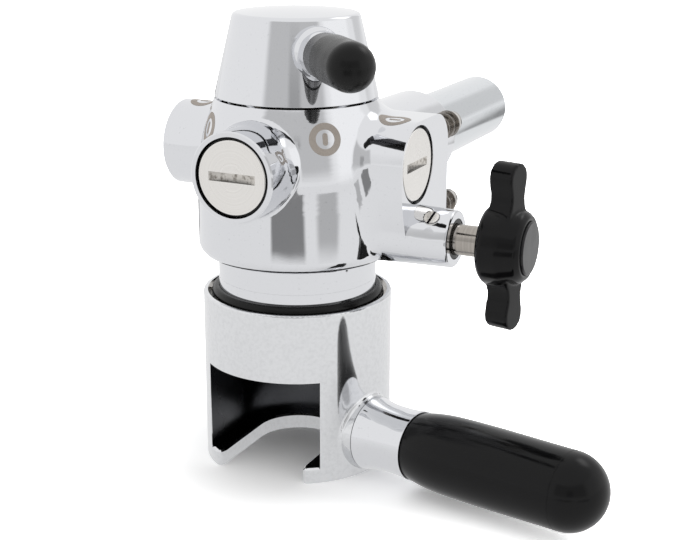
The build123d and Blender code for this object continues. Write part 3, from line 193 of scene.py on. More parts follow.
@dataclass(frozen=True)
class Finish:
    """What every finish on the object has.

    Attributes:
        name: the material's name.
        colour: sRGB hex of the clean surface.
        stain: sRGB hex of its specks, tool marks or handled spots.
        rough: lowest and highest roughness.
    """

    name: str
    colour: str
    stain: str
    rough: tuple[float, float]

    def material(self) -> bpy.types.Material:
        """Builds the material, or gives the one already built."""
        if self.name in bpy.data.materials:
            return bpy.data.materials[self.name]
        material, tree = empty_material(self.name)
        place = add_node(tree, "ShaderNodeTexCoord").outputs["Object"]
        shader = add_node(tree, "ShaderNodeBsdfPrincipled", self.surface(tree, place))
        add_node(tree, "ShaderNodeOutputMaterial", {"Surface": shader})
        return material

    def surface(self, tree: Tree, place: Source) -> dict:
        """Makes the nodes that feed the shader.

        Args:
            tree: the node tree that gets the nodes.
            place: the Object coordinates.

        Returns:
            The shader's inputs.
        """
        raise NotImplementedError

    def haze(self, tree: Tree, place: Source, size: float, detail: float) -> tuple[Source, Source]:
        """Makes patches in which the gleam changes.

        Args:
            tree: the node tree that gets the nodes.
            place: the Object coordinates.
            size: size of the patches in millimetres.
            detail: the noise's detail.

        Returns:
            The patches' value and the roughness.
        """
        noise = {"Vector": place, "Scale": 1 / (size * MM), "Detail": detail}
        patches = add_node(tree, "ShaderNodeTexNoise", noise)
        (start, end), (low, high) = NOISE_SPAN, self.rough
        span = {"Value": patches, "From Min": start, "From Max": end, "To Min": low, "To Max": high}
        return patches, add_node(tree, "ShaderNodeMapRange", span)


@dataclass(frozen=True)
class Metal(Finish):
    """A plated, cast or rolled metal whose grain has no direction.

    Attributes:
        haze_mm: size of the patches in which the polish changes.
        wave_mm: width of the slow waves left by buffing.
        wave_depth_mm: their depth.
        grit_mm: size of the fine grain.
        grit_depth_mm: its depth.
        speck_mm: spacing of the specks.
        speck_share: how much of the surface the specks take, 0 to 1.
        speck_blur: how softly the specks end, in the noise's own values.
    """

    haze_mm: float = 14.0
    wave_mm: float = 12.0
    wave_depth_mm: float = 0.03
    grit_mm: float = 0.5
    grit_depth_mm: float = 0.001
    speck_mm: float = 1.1
    speck_share: float = 0.08
    speck_blur: float = 0.05

    def surface(self, tree: Tree, place: Source) -> dict:
        """Makes the polish, the specks, the slow waves and the fine grain.

        Args:
            tree: the node tree that gets the nodes.
            place: the Object coordinates.

        Returns:
            The shader's inputs.
        """
        _, rough = self.haze(tree, place, self.haze_mm, 3.0)
        noise = {"Vector": place, "Scale": 1 / (self.speck_mm * MM), "Detail": 2.0}
        specks = add_node(tree, "ShaderNodeTexNoise", noise)
        # Values of the noise above this edge are specks
        edge, blur = 0.72 - 0.3 * self.speck_share, self.speck_blur
        ramp = {"Value": specks, "From Min": edge - blur, "From Max": edge + blur}
        spot = add_node(tree, "ShaderNodeMapRange", ramp)
        shades = {"Factor": spot, "A": linear(self.colour), "B": linear(self.stain)}
        tint = add_node(tree, "ShaderNodeMix", shades, data_type="RGBA")
        layers = ((self.wave_mm, self.wave_depth_mm, 1.0), (self.grit_mm, self.grit_depth_mm, 2.0))
        return {
            "Metallic": 1.0,
            "Base Color": tint,
            "Roughness": rough,
            "Normal": relief(tree, place, layers),
        }


@dataclass(frozen=True)
class TurnedMetal(Finish):
    """Metal turned on a lathe, with rings about its own axis and its stain in the tool marks.

    Attributes:
        centre: a point on the turning axis, in millimetres.
        axis: direction of the turning axis.
        feed_mm: distance from ring to ring.
        depth_mm: depth of the rings.
        patch_mm: size of the patches in which the gleam changes.
    """

    centre: tuple[float, float, float]
    axis: tuple[float, float, float]
    feed_mm: float
    depth_mm: float = 0.0012
    patch_mm: float = 5.0

    def surface(self, tree: Tree, place: Source) -> dict:
        """Makes the rings, counted outwards on an end face and lengthwise on a shaft.

        Args:
            tree: the node tree that gets the nodes.
            place: the Object coordinates.

        Returns:
            The shader's inputs.
        """
        turn = Vector(self.axis).to_track_quat("Z", "Y").to_matrix().to_4x4().inverted()
        shift = turn @ (Vector(self.centre) * -MM)
        local = {"Vector": place, "Location": shift, "Rotation": turn.to_euler()}
        local = add_node(tree, "ShaderNodeMapping", local)
        parts = add_node(tree, "ShaderNodeSeparateXYZ", {"Vector": local}).outputs
        flat = add_node(tree, "ShaderNodeCombineXYZ", {"X": parts["X"], "Y": parts["Y"]})
        radius = add_node(tree, "ShaderNodeVectorMath", {0: flat}, operation="LENGTH")
        path = add_node(tree, "ShaderNodeMath", {0: radius, 1: parts["Z"]}, operation="ADD")
        rings = {"W": path, "Scale": 1 / (self.feed_mm * MM), "Detail": 2.0}
        rings = add_node(tree, "ShaderNodeTexNoise", rings, noise_dimensions="1D")
        patches = {"Vector": place, "Scale": 1 / (self.patch_mm * MM), "Detail": 3.0}
        patches = add_node(tree, "ShaderNodeTexNoise", patches)
        both = add_node(tree, "ShaderNodeMath", {0: rings, 1: patches}, operation="MULTIPLY")
        (start, end), (low, high) = PRODUCT_SPAN, self.rough
        span = {"Value": both, "From Min": start, "From Max": end, "To Min": high, "To Max": low}
        shades = {"Factor": rings, "A": linear(self.stain), "B": linear(self.colour)}
        tint = add_node(tree, "ShaderNodeMix", shades, data_type="RGBA")
        marks = {"Height": rings, "Distance": self.depth_mm * MM, "Strength": 1.0}
        return {
            "Metallic": 1.0,
            "Base Color": tint,
            "Roughness": add_node(tree, "ShaderNodeMapRange", span),
            "Normal": add_node(tree, "ShaderNodeBump", marks),
        }


@dataclass(frozen=True)
class Moulded(Finish):
    """A moulded plastic or rubber, with its stain where it was handled.

    Attributes:
        ior: index of refraction.
        flow_mm: width of the slow unevenness of the moulding.
        flow_depth_mm: its depth.
        skin_mm: size of the fine skin texture.
        skin_depth_mm: its depth.
        patch_mm: size of the patches in which the gleam changes.
    """

    ior: float = 1.5
    flow_mm: float = 9.0
    flow_depth_mm: float = 0.04
    skin_mm: float = 0.5
    skin_depth_mm: float = 0.002
    patch_mm: float = 6.0

    def surface(self, tree: Tree, place: Source) -> dict:
        """Makes the handled patches, the slow unevenness and the skin.

        Args:
            tree: the node tree that gets the nodes.
            place: the Object coordinates.

        Returns:
            The shader's inputs.
        """
        patches, rough = self.haze(tree, place, self.patch_mm, 4.0)
        shades = {"Factor": patches, "A": linear(self.colour), "B": linear(self.stain)}
        tint = add_node(tree, "ShaderNodeMix", shades, data_type="RGBA")
        layers = ((self.flow_mm, self.flow_depth_mm, 1.0), (self.skin_mm, self.skin_depth_mm, 2.0))
        return {
            "IOR": self.ior,
            "Base Color": tint,
            "Roughness": rough,
            "Normal": relief(tree, place, layers),
        }


# Chrome plate over a buffed casting: mirror bright, with slow waves from the buffing wheel
BRIGHT_CHROME = Metal(
    "chrome_plate_buffed", "#DDDEE1", "#D3D4D7", (0.03, 0.07), speck_mm=0.8, speck_share=0.06
)
# Chrome plate over a fine-cast, lightly brushed ring: softer gleam with fine dark specks
SATIN_CHROME = Metal(
    "chrome_plate_satin_cast",
    "#DEDFE1",
    "#D7D8DA",
    (0.05, 0.09),
    wave_depth_mm=0.02,
    grit_depth_mm=0.002,
    speck_mm=1.2,
    speck_share=0.5,
    speck_blur=0.16,
)
# Chrome plate on drawn tube: a duller gleam
TUBE_CHROME = Metal(
    "chrome_plate_drawn_tube",
    "#D6D9DC",
    "#C3C6CA",
    (0.1, 0.16),
    wave_depth_mm=0.01,
    grit_depth_mm=0.003,
)
# Stainless steel of the inner pieces, plainly machined
PLAIN_STEEL = Metal(
    "stainless_steel_machined", "#C9C5BF", "#A8A39B", (0.2, 0.35), wave_depth_mm=0.005
)
# Brass as machined, only on inner pieces
PLAIN_BRASS = Metal("brass_machined", "#D8B974", "#A98C4E", (0.2, 0.35), wave_depth_mm=0.005)
# Darkened turned steel of the lever's collar
DARK_STEEL = Metal(
    "steel_darkened_turned", "#48484A", "#39393B", (0.18, 0.3), wave_depth_mm=0.01
)
# Painted shade: dark and rough, laid on the inside of the ring's pocket, on the walls of the plugs'
# driver slots and in the gland screw's slot, to stand for the shade in these hollows
PAINTED_SHADE = Metal(
    "painted_shade_in_hollows",
    "#4C4D50",
    "#3A3B3D",
    (0.2, 0.3),
    wave_depth_mm=0.02,
    grit_depth_mm=0.004,
)
# Floor of the plugs' driver slots as milled: raw, mottled and brownish
MILLED_STEEL = Metal(
    "stainless_steel_milled_slot",
    "#DAD6D0",
    "#8B857D",
    (0.35, 0.5),
    grit_depth_mm=0.01,
    speck_share=0.35,
    speck_blur=0.12,
)
# Black plastic, injection moulded with a polished skin
BLACK_PLASTIC = Moulded("abs_plastic_moulded_gloss", "#0A0A0B", "#0E0E0F", (0.12, 0.2), 1.28)
# Dark grey plastic cap of the knob, injection moulded
GREY_PLASTIC = Moulded("abs_plastic_moulded_grey", "#19191A", "#202022", (0.16, 0.26), 1.36)
# Smooth moulded rubber: soft wide gleam
BLACK_RUBBER = Moulded("nitrile_rubber_moulded", "#0A0A0A", "#0F0F0F", (0.2, 0.32), 1.3)
# Softer seal rubber, a shade lighter
SEAL_RUBBER = Moulded("silicone_rubber_moulded", "#2C2C2C", "#383838", (0.45, 0.6), 1.43)
# Fluoropolymer, machined: waxy white
WHITE_POLYMER = Moulded(
    "ptfe_machined", "#E9E8E3", "#DEDCD5", (0.4, 0.55), 1.36, flow_depth_mm=0.01
)
# Grey oxide left by a laser on the plate: matt, warm grey
LASER_MARK = Moulded(
    "laser_oxide_mark", "#ADA49B", "#A1988F", (0.55, 0.7), flow_depth_mm=0.0
)


def heading(azimuth: float, rise: float = 0.0) -> Vector:
    """Gives the direction at an azimuth, counted from the front towards +X.

    Args:
        azimuth: degrees from -Y towards +X.
        rise: degrees above the level.

    Returns:
        A unit vector.
    """
    turn, lift = math.radians(azimuth), math.radians(rise)
    level = math.cos(lift)
    return Vector((math.sin(turn) * level, -math.cos(turn) * level, math.sin(lift)))


def mark_corners(bm: bmesh.types.BMesh, sharp: float) -> None:
    """Shades a mesh smooth, apart from its real corners.

    Args:
        bm: the mesh.
        sharp: angle above which an edge stays a corner.
    """
    for face in bm.faces:
        face.smooth = True
    for edge in bm.edges:
        edge.smooth = edge.calc_face_angle(0.0) < sharp


def put_object(name: str, bm: bmesh.types.BMesh) -> bpy.types.Object:
    """Makes an object of a bmesh and frees the bmesh.

    Args:
        name: the object's and its mesh's name.
        bm: the mesh, in metres.

    Returns:
        The object, at the origin.
    """
    mesh = bpy.data.meshes.new(name)
    bm.to_mesh(mesh)
    bm.free()
    made = bpy.data.objects.new(name, mesh)
    bpy.context.scene.collection.objects.link(made)
    return made


def finish_mesh(name: str, bm: bmesh.types.BMesh, sharp: float = SHARP_ANGLE) -> bpy.types.Object:
    """Makes a piece of a bmesh, shaded smooth with its real corners kept crisp.

    Args:
        name: the piece's name.
        bm: the mesh, in metres; it is freed.
        sharp: angle above which an edge stays a corner.

    Returns:
        The piece, at the origin, with face-weighted normals.
    """
    mark_corners(bm, sharp)
    piece = put_object(name, bm)
    normals = piece.modifiers.new("face_weighted_normals", "WEIGHTED_NORMAL")
    normals.keep_sharp = True
    normals.weight = 80
    return piece


def dress(
    piece: bpy.types.Object,
    finish: Finish,
    body: Body,
    nodes: Iterable[str] = (),
) -> bpy.types.Object:
    """Gives a piece its finish, its body and the CAD nodes that it stands for.

    Args:
        piece: the finished piece.
        finish: its finish.
        body: the CAD body that it rides on.
        nodes: the CAD nodes that it replaces.

    Returns:
        The piece.
    """
    piece.data.materials.clear()
    piece.data.materials.append(finish.material())
    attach(piece, body.value)
    if nodes:
        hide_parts(*nodes)
    LOG.info("%s rides on %s", piece.name, body.value)
    return piece


@dataclass(frozen=True)
class Corner:
    """One corner of a turned outline, in millimetres.

    Attributes:
        along: distance along the turning axis.
        out: distance from the axis.
        trim: how far from the corner its rounding starts.
        steps: segments in the rounding.
    """

    along: float
    out: float
    trim: float = 0.0
    steps: int = 4


@dataclass(frozen=True)
class Lathe:
    """A turning axis.

    Attributes:
        origin: where distances along the axis start, in millimetres.
        direction: unit vector along the axis.
        segments: faces around.
    """

    origin: Vector
    direction: Vector
    segments: int = 128

    def point(self, along: float, out: float) -> Vector:
        """Gives a point of the outline's half plane, in metres."""
        return (self.origin + self.direction * along + self.side() * out) * MM

    def side(self) -> Vector:
        """Gives the direction in which the outline's radius runs."""
        upright = abs(self.direction.z) > 0.9
        start = Vector((1, 0, 0)) if upright else Vector((0, 0, 1))
        return (start - self.direction * start.dot(self.direction)).normalized()

    def turn(self, outline: Outline, ring: bool = False) -> bmesh.types.BMesh:
        """Turns an outline about the axis.

        Args:
            outline: its corners in order; a solid one starts and ends on the axis.
            ring: whether the outline closes on itself, as on a hollow piece.

        Returns:
            The turned mesh.
        """
        bm = bmesh.new()
        corners = [Corner(*row) for row in outline]
        verts = [bm.verts.new(self.point(corner.along, corner.out)) for corner in corners]
        for pair in zip(verts, verts[1:]):
            bm.edges.new(pair)
        if ring:
            bm.edges.new((verts[-1], verts[0]))
        for corner, vert in zip(corners, verts):
            if corner.trim:
                bmesh.ops.bevel(
                    bm,
                    geom=[vert],
                    offset=corner.trim * MM,
                    offset_type="OFFSET",
                    segments=corner.steps,
                    profile=0.5,
                    affect="VERTICES",
                    material=-1,
                )
        bmesh.ops.spin(
            bm,
            geom=bm.verts[:] + bm.edges[:],
            cent=self.origin * MM,
            axis=self.direction,
            angle=math.tau,
            steps=self.segments,
            use_merge=True,
        )
        bmesh.ops.remove_doubles(bm, verts=bm.verts[:], dist=1e-7)
        bmesh.ops.recalc_face_normals(bm, faces=bm.faces[:])
        return bm


class TurnedSteel(Enum):
    """Turned stainless steel: kind, colour, tool marks, roughness, ring spacing in mm."""

    # Faced on a lathe: warm white with fine rings
    FACED = ("turned", "#ECEAE7", "#DEDBD7", (0.2, 0.28), 0.45)
    # Bar turned and rubbed bright: a darker, glossier grey
    BRIGHT = ("bright", "#B9B4AE", "#8E8881", (0.1, 0.18), 0.6)

    def about(self, lathe: Lathe, name: str) -> TurnedMetal:
        """Gives the finish about a piece's own axis.

        Args:
            lathe: the piece's turning axis.
            name: what the piece is.

        Returns:
            The finish.
        """
        kind, colour, stain, rough, feed_mm = self.value
        name = f"stainless_steel_{kind}_{name}"
        centre, axis = tuple(lathe.origin), tuple(lathe.direction)
        return TurnedMetal(name, colour, stain, rough, centre, axis, feed_mm)


@dataclass(frozen=True)
class DriverSlot:
    """A screwdriver slot across the end of a turned piece, in millimetres.

    Attributes:
        lathe: the piece's turning axis.
        face: where the end face lies along that axis.
        along: direction of the slot.
        length: its length at the face.
        width: its width.
        depth: its depth in the middle.
        reach: radius within which its faces' middles lie.
        margins: least distance of their middles from the end face, and how far past the
            floor and how far inside a wall's place they are still taken.
        segments: faces round the cutting disc.
    """

    lathe: Lathe
    face: float
    along: Vector
    length: float
    width: float
    depth: float
    reach: float
    margins: tuple[float, float, float] = (0.02, 0.1, 0.05)
    segments: int = 160

    def across(self) -> Vector:
        """Gives the direction from wall to wall."""
        return self.along.cross(self.lathe.direction)

    def cut(self, piece: bpy.types.Object) -> None:
        """Cuts the slot with a disc, as a slitting saw does, so that its ends run out.

        Args:
            piece: the piece, whose corners are marked again.
        """
        radius = (self.length**2 / 4 + self.depth**2) / (2 * self.depth)
        size, thick = radius * MM, self.width * MM
        disc = bmesh.new()
        bmesh.ops.create_cone(
            disc,
            cap_ends=True,
            segments=self.segments,
            radius1=size,
            radius2=size,
            depth=thick,
        )
        out = self.lathe.direction
        turn = Matrix((self.along, out, self.across())).transposed().to_4x4()
        centre = self.lathe.origin + out * self.face + out * (radius - self.depth)
        turn = Matrix.Translation(centre * MM) @ turn
        bmesh.ops.transform(disc, matrix=turn, verts=disc.verts[:])
        cutter = put_object("slot_cutter", disc)
        cut = piece.modifiers.new("driver_slot", "BOOLEAN")
        cut.object = cutter
        cut.solver = "EXACT"
        piece.modifiers.move(len(piece.modifiers) - 1, 0)
        bake_modifier(piece, cut.name)
        bpy.data.meshes.remove(cutter.data)
        bm = bmesh.new()
        bm.from_mesh(piece.data)
        bmesh.ops.remove_doubles(bm, verts=bm.verts[:], dist=0.001 * MM)
        mark_corners(bm, SHARP_ANGLE)
        bm.to_mesh(piece.data)
        bm.free()

    def holds(self, middle: Vector) -> bool:
        """Tells from a face's middle, in millimetres, whether the face lies in the slot."""
        place = middle - self.lathe.origin
        deep = self.face - place.dot(self.lathe.direction)
        in_round = place.cross(self.lathe.direction).length < self.reach
        return in_round and self.margins[0] < deep < self.depth + self.margins[1]

    def on_wall(self, middle: Vector) -> bool:
        """Tells whether the face lies on one of the slot's two walls."""
        aside = abs((middle - self.lathe.origin).dot(self.across()))
        return self.holds(middle) and aside > self.width / 2 - self.margins[2]


def restain(piece: bpy.types.Object, finish: Finish, inside: Callable[[Vector], bool]) -> None:
    """Gives some of a dressed piece's faces one more finish.

    Args:
        piece: the piece.
        finish: the finish.
        inside: tells from a face's middle, in millimetres, whether the face gets it.
    """
    piece.data.materials.append(finish.material())
    last = len(piece.data.materials) - 1
    for polygon in piece.data.polygons:
        if inside(polygon.center / MM):
            polygon.material_index = last


def bake_modifier(piece: bpy.types.Object, name: str) -> None:
    """Applies one modifier to a piece's mesh.

    Args:
        piece: the piece.
        name: the modifier's name.
    """
    with bpy.context.temp_override(object=piece, active_object=piece, selected_objects=[piece]):
        bpy.ops.object.modifier_apply(modifier=name)


def merged_copy(node: bpy.types.Object, name: str) -> bpy.types.Object:
    """Copies a CAD node's mesh with its double corners merged, so that it shades smoothly.

    Args:
        node: the CAD node, which isn't changed.
        name: the copy's name.

    Returns:
        The copy, at the origin.
    """
    bm = bmesh.new()
    bm.from_mesh(node.data)
    bmesh.ops.remove_doubles(bm, verts=bm.verts[:], dist=0.002 * MM)
    bmesh.ops.dissolve_degenerate(bm, edges=bm.edges[:], dist=0.001 * MM)
    return finish_mesh(name, bm)


def arc(
    along: float, out: float, radius: float, start: float, end: float, steps: int
) -> list[tuple[float, float]]:
    """Gives outline points on an arc, its angles in degrees from the axis' direction.

    Args:
        along: distance of the arc's centre along the turning axis.
        out: distance of the arc's centre from the axis.
        radius: the arc's radius.
        start: angle of the first point.
        end: angle of the last point.
        steps: segments in the arc.

    Returns:
        The points in order.
    """
    points = []
    for step in range(steps + 1):
        angle = math.radians(start + (end - start) * step / steps)
        rise = max(0.0, out + radius * math.sin(angle))
        points.append((along + radius * math.cos(angle), rise))
    return points


def sweep(
    start: tuple[float, float],
    slope_in: float,
    end: tuple[float, float],
    slope_out: float,
    steps: int,
) -> list[tuple[float, float]]:
    """Gives outline points on a smooth curve between two points with set slopes.

    Args:
        start: distance along and out of the first point.
        slope_in: slope there.
        end: distance along and out of the last point.
        slope_out: slope there.
        steps: segments in the curve.

    Returns:
        The points in order.
    """
    span = end[0] - start[0]
    points = []
    for step in range(steps + 1):
        t = step / steps
        rise = (2 * t**3 - 3 * t**2 + 1) * start[1] + (3 * t**2 - 2 * t**3) * end[1]
        lean = (t**3 - 2 * t**2 + t) * slope_in * span + (t**3 - t**2) * slope_out * span
        points.append((start[0] + span * t, rise + lean))
    return points


@dataclass
class TapCasting:
    """The cast body with its neck, both plated and buffed.

    Attributes:
        pieces: CAD node to the piece made of it; the first one carries the marks.
    """

    pieces: dict[str, str] = field(
        default_factory=lambda: {"main_body": "tap_casting", "neck_sleeve": "neck_of_the_tap"}
    )

    def build(self, nodes: dict) -> bpy.types.Object:
        """Makes the casting and the neck.

        Args:
            nodes: the CAD nodes by name.

        Returns:
            The body, on which the marks are laid.
        """
        made = [
            dress(merged_copy(nodes[node], name), BRIGHT_CHROME, Body.TAP, (node,))
            for node, name in self.pieces.items()
        ]
        return made[0]


@dataclass
class PortPlugs:
    """Three slotted screw plugs with a black seal round each face, in millimetres.

    Attributes:
        height: height of the ports' axes.
        face: distance of the plugs' faces from the upright axis.
        pin: how far the plug's inner pin reaches behind its face, and the pin's radius.
        shank: the same of its shank.
        head: the same of its head.
        seal: where the seal sits along the axis.
        groove: depth of the seal's groove and half its width.
        cord: radius of the seal's ring and of its cord.
        slot: length, width and depth of the driver slot, and the radius round its faces.
        azimuths: direction of each port in degrees.
    """

    height: float = 98.8
    face: float = 40.5
    pin: tuple[float, float] = (12.9, 4.9)
    shank: tuple[float, float] = (10.1, 9.0)
    head: tuple[float, float] = (3.6, 11.0)
    seal: float = 38.9
    groove: float = 0.9
    cord: tuple[float, float] = (11.04, 0.83)
    slot: tuple[float, float, float, float] = (15.3, 2.7, 1.7, 8.5)
    azimuths: dict[str, float] = field(
        default_factory=lambda: {"front": 0.0, "left": -90.0, "right": 90.0}
    )

    def build(self) -> None:
        """Makes the plugs and their seals."""
        for side, azimuth in self.azimuths.items():
            self.plug(side, Lathe(Vector((0, 0, self.height)), heading(azimuth)))

    def plug(self, side: str, lathe: Lathe) -> None:
        """Makes one plug and its seal.

        Args:
            side: the port's name.
            lathe: the port's axis.
        """
        (pin, pin_r), (shank, shank_r), (head, head_r) = self.pin, self.shank, self.head
        floor = head_r - self.groove
        outline = [
            (self.face - pin, 0),
            (self.face - pin, pin_r, 0.3, 2),
            (self.face - shank, pin_r),
            (self.face - shank, shank_r, 0.3, 2),
            (self.face - head, shank_r),
            (self.face - head, head_r),
            (self.seal - self.groove, head_r),
            (self.seal - self.groove, floor),
            (self.seal + self.groove, floor),
            (self.seal + self.groove, head_r),
            (self.face, head_r, 0.35, 4),
            (self.face, 0),
        ]
        piece = finish_mesh(f"{side}_port_plug", lathe.turn(outline))
        along = Vector((0, 0, 1)).cross(lathe.direction)
        slot = DriverSlot(lathe, self.face, along, *self.slot)
        slot.cut(piece)
        finish = TurnedSteel.FACED.about(lathe, f"{side}_plug")
        dress(piece, finish, Body.TAP, (f"{side}_plug",))
        restain(piece, MILLED_STEEL, slot.holds)
        # The slot's walls get the painted shade of the hollows
        restain(piece, PAINTED_SHADE, slot.on_wall)
        section = arc(self.seal, *self.cord, 0, 360, 24)[:-1]
        seal = finish_mesh(f"{side}_port_seal", lathe.turn(section, ring=True))
        dress(seal, BLACK_RUBBER, Body.TAP, (f"{side}_plug_o_ring",))


@dataclass
class RotaryCap:
    """The cap that turns the rotor, with its short lever, in millimetres.

    Attributes:
        foot: height of the cap's foot and its radius.
        top: height and radius of the cone's top.
        crown: rise of the domed top.
        dome: share of the dome that comes before its rounded rim.
        wall: thickness of the cone at its foot.
        hollow: height and radius of the hollow's ceiling.
        hub: how far above the foot the hub ends, and its radius.
        seat: height and radius of the spindle's seat in the hub.
        lever_z: height of the lever's axis.
        lever_azimuth: its direction in degrees.
        base: outline of the lever's chrome base.
        collar: outline of its dark collar.
        grip: where its rubber grip starts, where its round tip starts, and its radius.
    """

    foot: tuple[float, float] = (117.0, 25.25)
    top: tuple[float, float] = (141.9, 19.42)
    crown: float = 1.3
    dome: float = 0.94
    wall: float = 2.2
    hollow: tuple[float, float] = (138.0, 18.1)
    hub: tuple[float, float] = (1.0, 11.0)
    seat: tuple[float, float] = (136.42, 7.02)
    lever_z: float = 132.4
    lever_azimuth: float = 44.0
    base: Outline = (
        (18.5, 0),
        (18.5, 7.6),
        (22.42, 7.6, 1.1, 6),
        (24.42, 6.75, 0.8, 5),
        (28.42, 6.5, 0.35, 3),
        (28.42, 0),
    )
    collar: Outline = ((28.5, 0), (28.5, 6.65, 0.3, 3), (35.4, 6.65, 0.3, 3), (35.4, 0))
    grip: tuple[float, float, float] = (35.42, 50.95, 7.05)

    def build(self) -> None:
        """Makes the cap and the lever's pieces."""
        upright = Lathe(Vector((0, 0, 0)), Vector((0, 0, 1)), 192)
        shell = finish_mesh("cap_shell", upright.turn(self.cover()))
        dress(shell, BRIGHT_CHROME, Body.CAP, ("cap_cover",))
        start, tip, radius = self.grip
        grip = [(start, 0), (start, radius, 0.5, 4), *arc(tip, 0.0, radius, 90, 0, 16)]
        lever = Lathe(Vector((0, 0, self.lever_z)), heading(self.lever_azimuth), 96)
        for name, outline, finish, slot, node in (
            ("lever_base", self.base, BRIGHT_CHROME, Slot.BRIGHT, "lever_base_ring"),
            ("lever_dark_collar", self.collar, DARK_STEEL, Slot.DARK, "lever_collar"),
            ("lever_rubber_grip", grip, BLACK_RUBBER, Slot.RUBBER, "lever_grip"),
        ):
            dress(finish_mesh(name, lever.turn(outline)), finish, Body.CAP, (node,))

    def cover(self) -> list[tuple]:
        """Gives the cap's outline.

        Returns:
            The thin cone with its domed top, its hub and its hollow.
        """
        (foot, foot_r), (top, top_r) = self.foot, self.top
        (ceiling, ceiling_r), (seat, seat_r) = self.hollow, self.seat
        hub, hub_r = foot + self.hub[0], self.hub[1]
        bow = (top_r**2 + self.crown**2) / (2 * self.crown)
        half = math.degrees(math.asin(top_r / bow))
        return [
            *arc(top + self.crown - bow, 0.0, bow, 0, half * self.dome, 10),
            (top, top_r, 1.0, 6),
            (foot, foot_r, 0.25, 2),
            (foot, foot_r - self.wall),
            (ceiling, ceiling_r),
            (ceiling, hub_r),
            (hub, hub_r),
            (hub, seat_r),
            (seat, seat_r),
            (seat, 0),
        ]


@dataclass
class BottleClamp:
    """The ring that slides round the bottle's neck, with its handle, in millimetres.

    Attributes:
        azimuth: direction of the handle in degrees.
        rise: its rise in degrees.
        height: height of its axis at the upright axis.
        ledge: height just under the pocket's ledge.
        ceiling: height just over the pocket's ceiling.
        outer: radius just inside the ring's outer face.
        tip: where the grip ends.
        seam: where the fine groove round the grip lies.
        grip_r: radius of the grip at its tip.
        grip_corner: angle in radians above which an edge of the grip stays a corner.
        wiper: outline of the rubber wiper round the neck.
    """

    azimuth: float = 75.4
    rise: float = 2.0
    height: float = 12.2
    ledge: float = 4.9
    ceiling: float = 36.1
    outer: float = 29.8
    tip: float = 114.4
    seam: float = 102.6
    grip_r: float = 11.8
    grip_corner: float = math.radians(40)
    wiper: Outline = (
        (52.47, 25.1),
        (52.47, 27.3),
        (55.4, 27.3, 0.9, 6),
        (56.65, 26.2, 0.35, 4),
        (56.65, 25.1),
    )

    def build(self, nodes: dict) -> None:
        """Makes the ring, the handle and the wiper that closes the gap round the neck.

        Args:
            nodes: the CAD nodes by name.
        """
        ring = merged_copy(nodes["clamp_ring"], "clamp_ring_casting")
        dress(ring, SATIN_CHROME, Body.CLAMP, ("clamp_ring",))
        # The inside of the pocket gets painted shade
        restain(ring, PAINTED_SHADE, self.in_pocket)
        self.handle()
        upright = Lathe(Vector((0, 0, 0)), Vector((0, 0, 1)), 160)
        wiper = finish_mesh("neck_dust_wiper", upright.turn(self.wiper, ring=True))
        dress(wiper, BLACK_RUBBER, Body.GUIDE, ("dust_wiper",))

    def in_pocket(self, middle: Vector) -> bool:
        """Tells from a face's middle whether the face lies in the bottle's pocket."""
        return self.ledge < middle.z < self.ceiling and middle.xy.length < self.outer

    def handle(self) -> None:
        """Makes the waisted chrome collar and the black grip."""
        axis = Lathe(Vector((0, 0, self.height)), heading(self.azimuth, self.rise), 128)
        collar = [
            (32.05, 0),
            (32.05, 11.62, 0.2, 2),
            *sweep((32.35, 11.58), -0.3, (43.0, 10.4), 0.0, 12)[1:],
            *sweep((43.0, 10.4), 0.0, (49.7, 10.86), 0.1, 6)[1:],
            (49.98, 10.88, 0.12, 2),
            (49.98, 0),
        ]
        chrome = finish_mesh("handle_chrome_collar", axis.turn(collar))
        dress(chrome, BRIGHT_CHROME, Body.CLAMP, ("handle_collar",))
        seam, radius = self.seam, self.grip_r
        grip = [
            (50.05, 0),
            (50.05, 10.4, 0.35, 4),
            *sweep((50.6, 10.52), 0.24, (64.0, 12.0), 0.02, 12),
            *sweep((64.0, 12.0), 0.02, (seam - 0.25, radius), -0.004, 10)[1:],
            (seam - 0.08, radius - 0.14),
            (seam + 0.08, radius - 0.14),
            (seam + 0.25, radius),
            *arc(self.tip - radius, 0.0, radius, 87, 0, 20),
        ]
        black = finish_mesh("handle_black_grip", axis.turn(grip), self.grip_corner)
        dress(black, BLACK_PLASTIC, Body.CLAMP, ("handle_grip",))


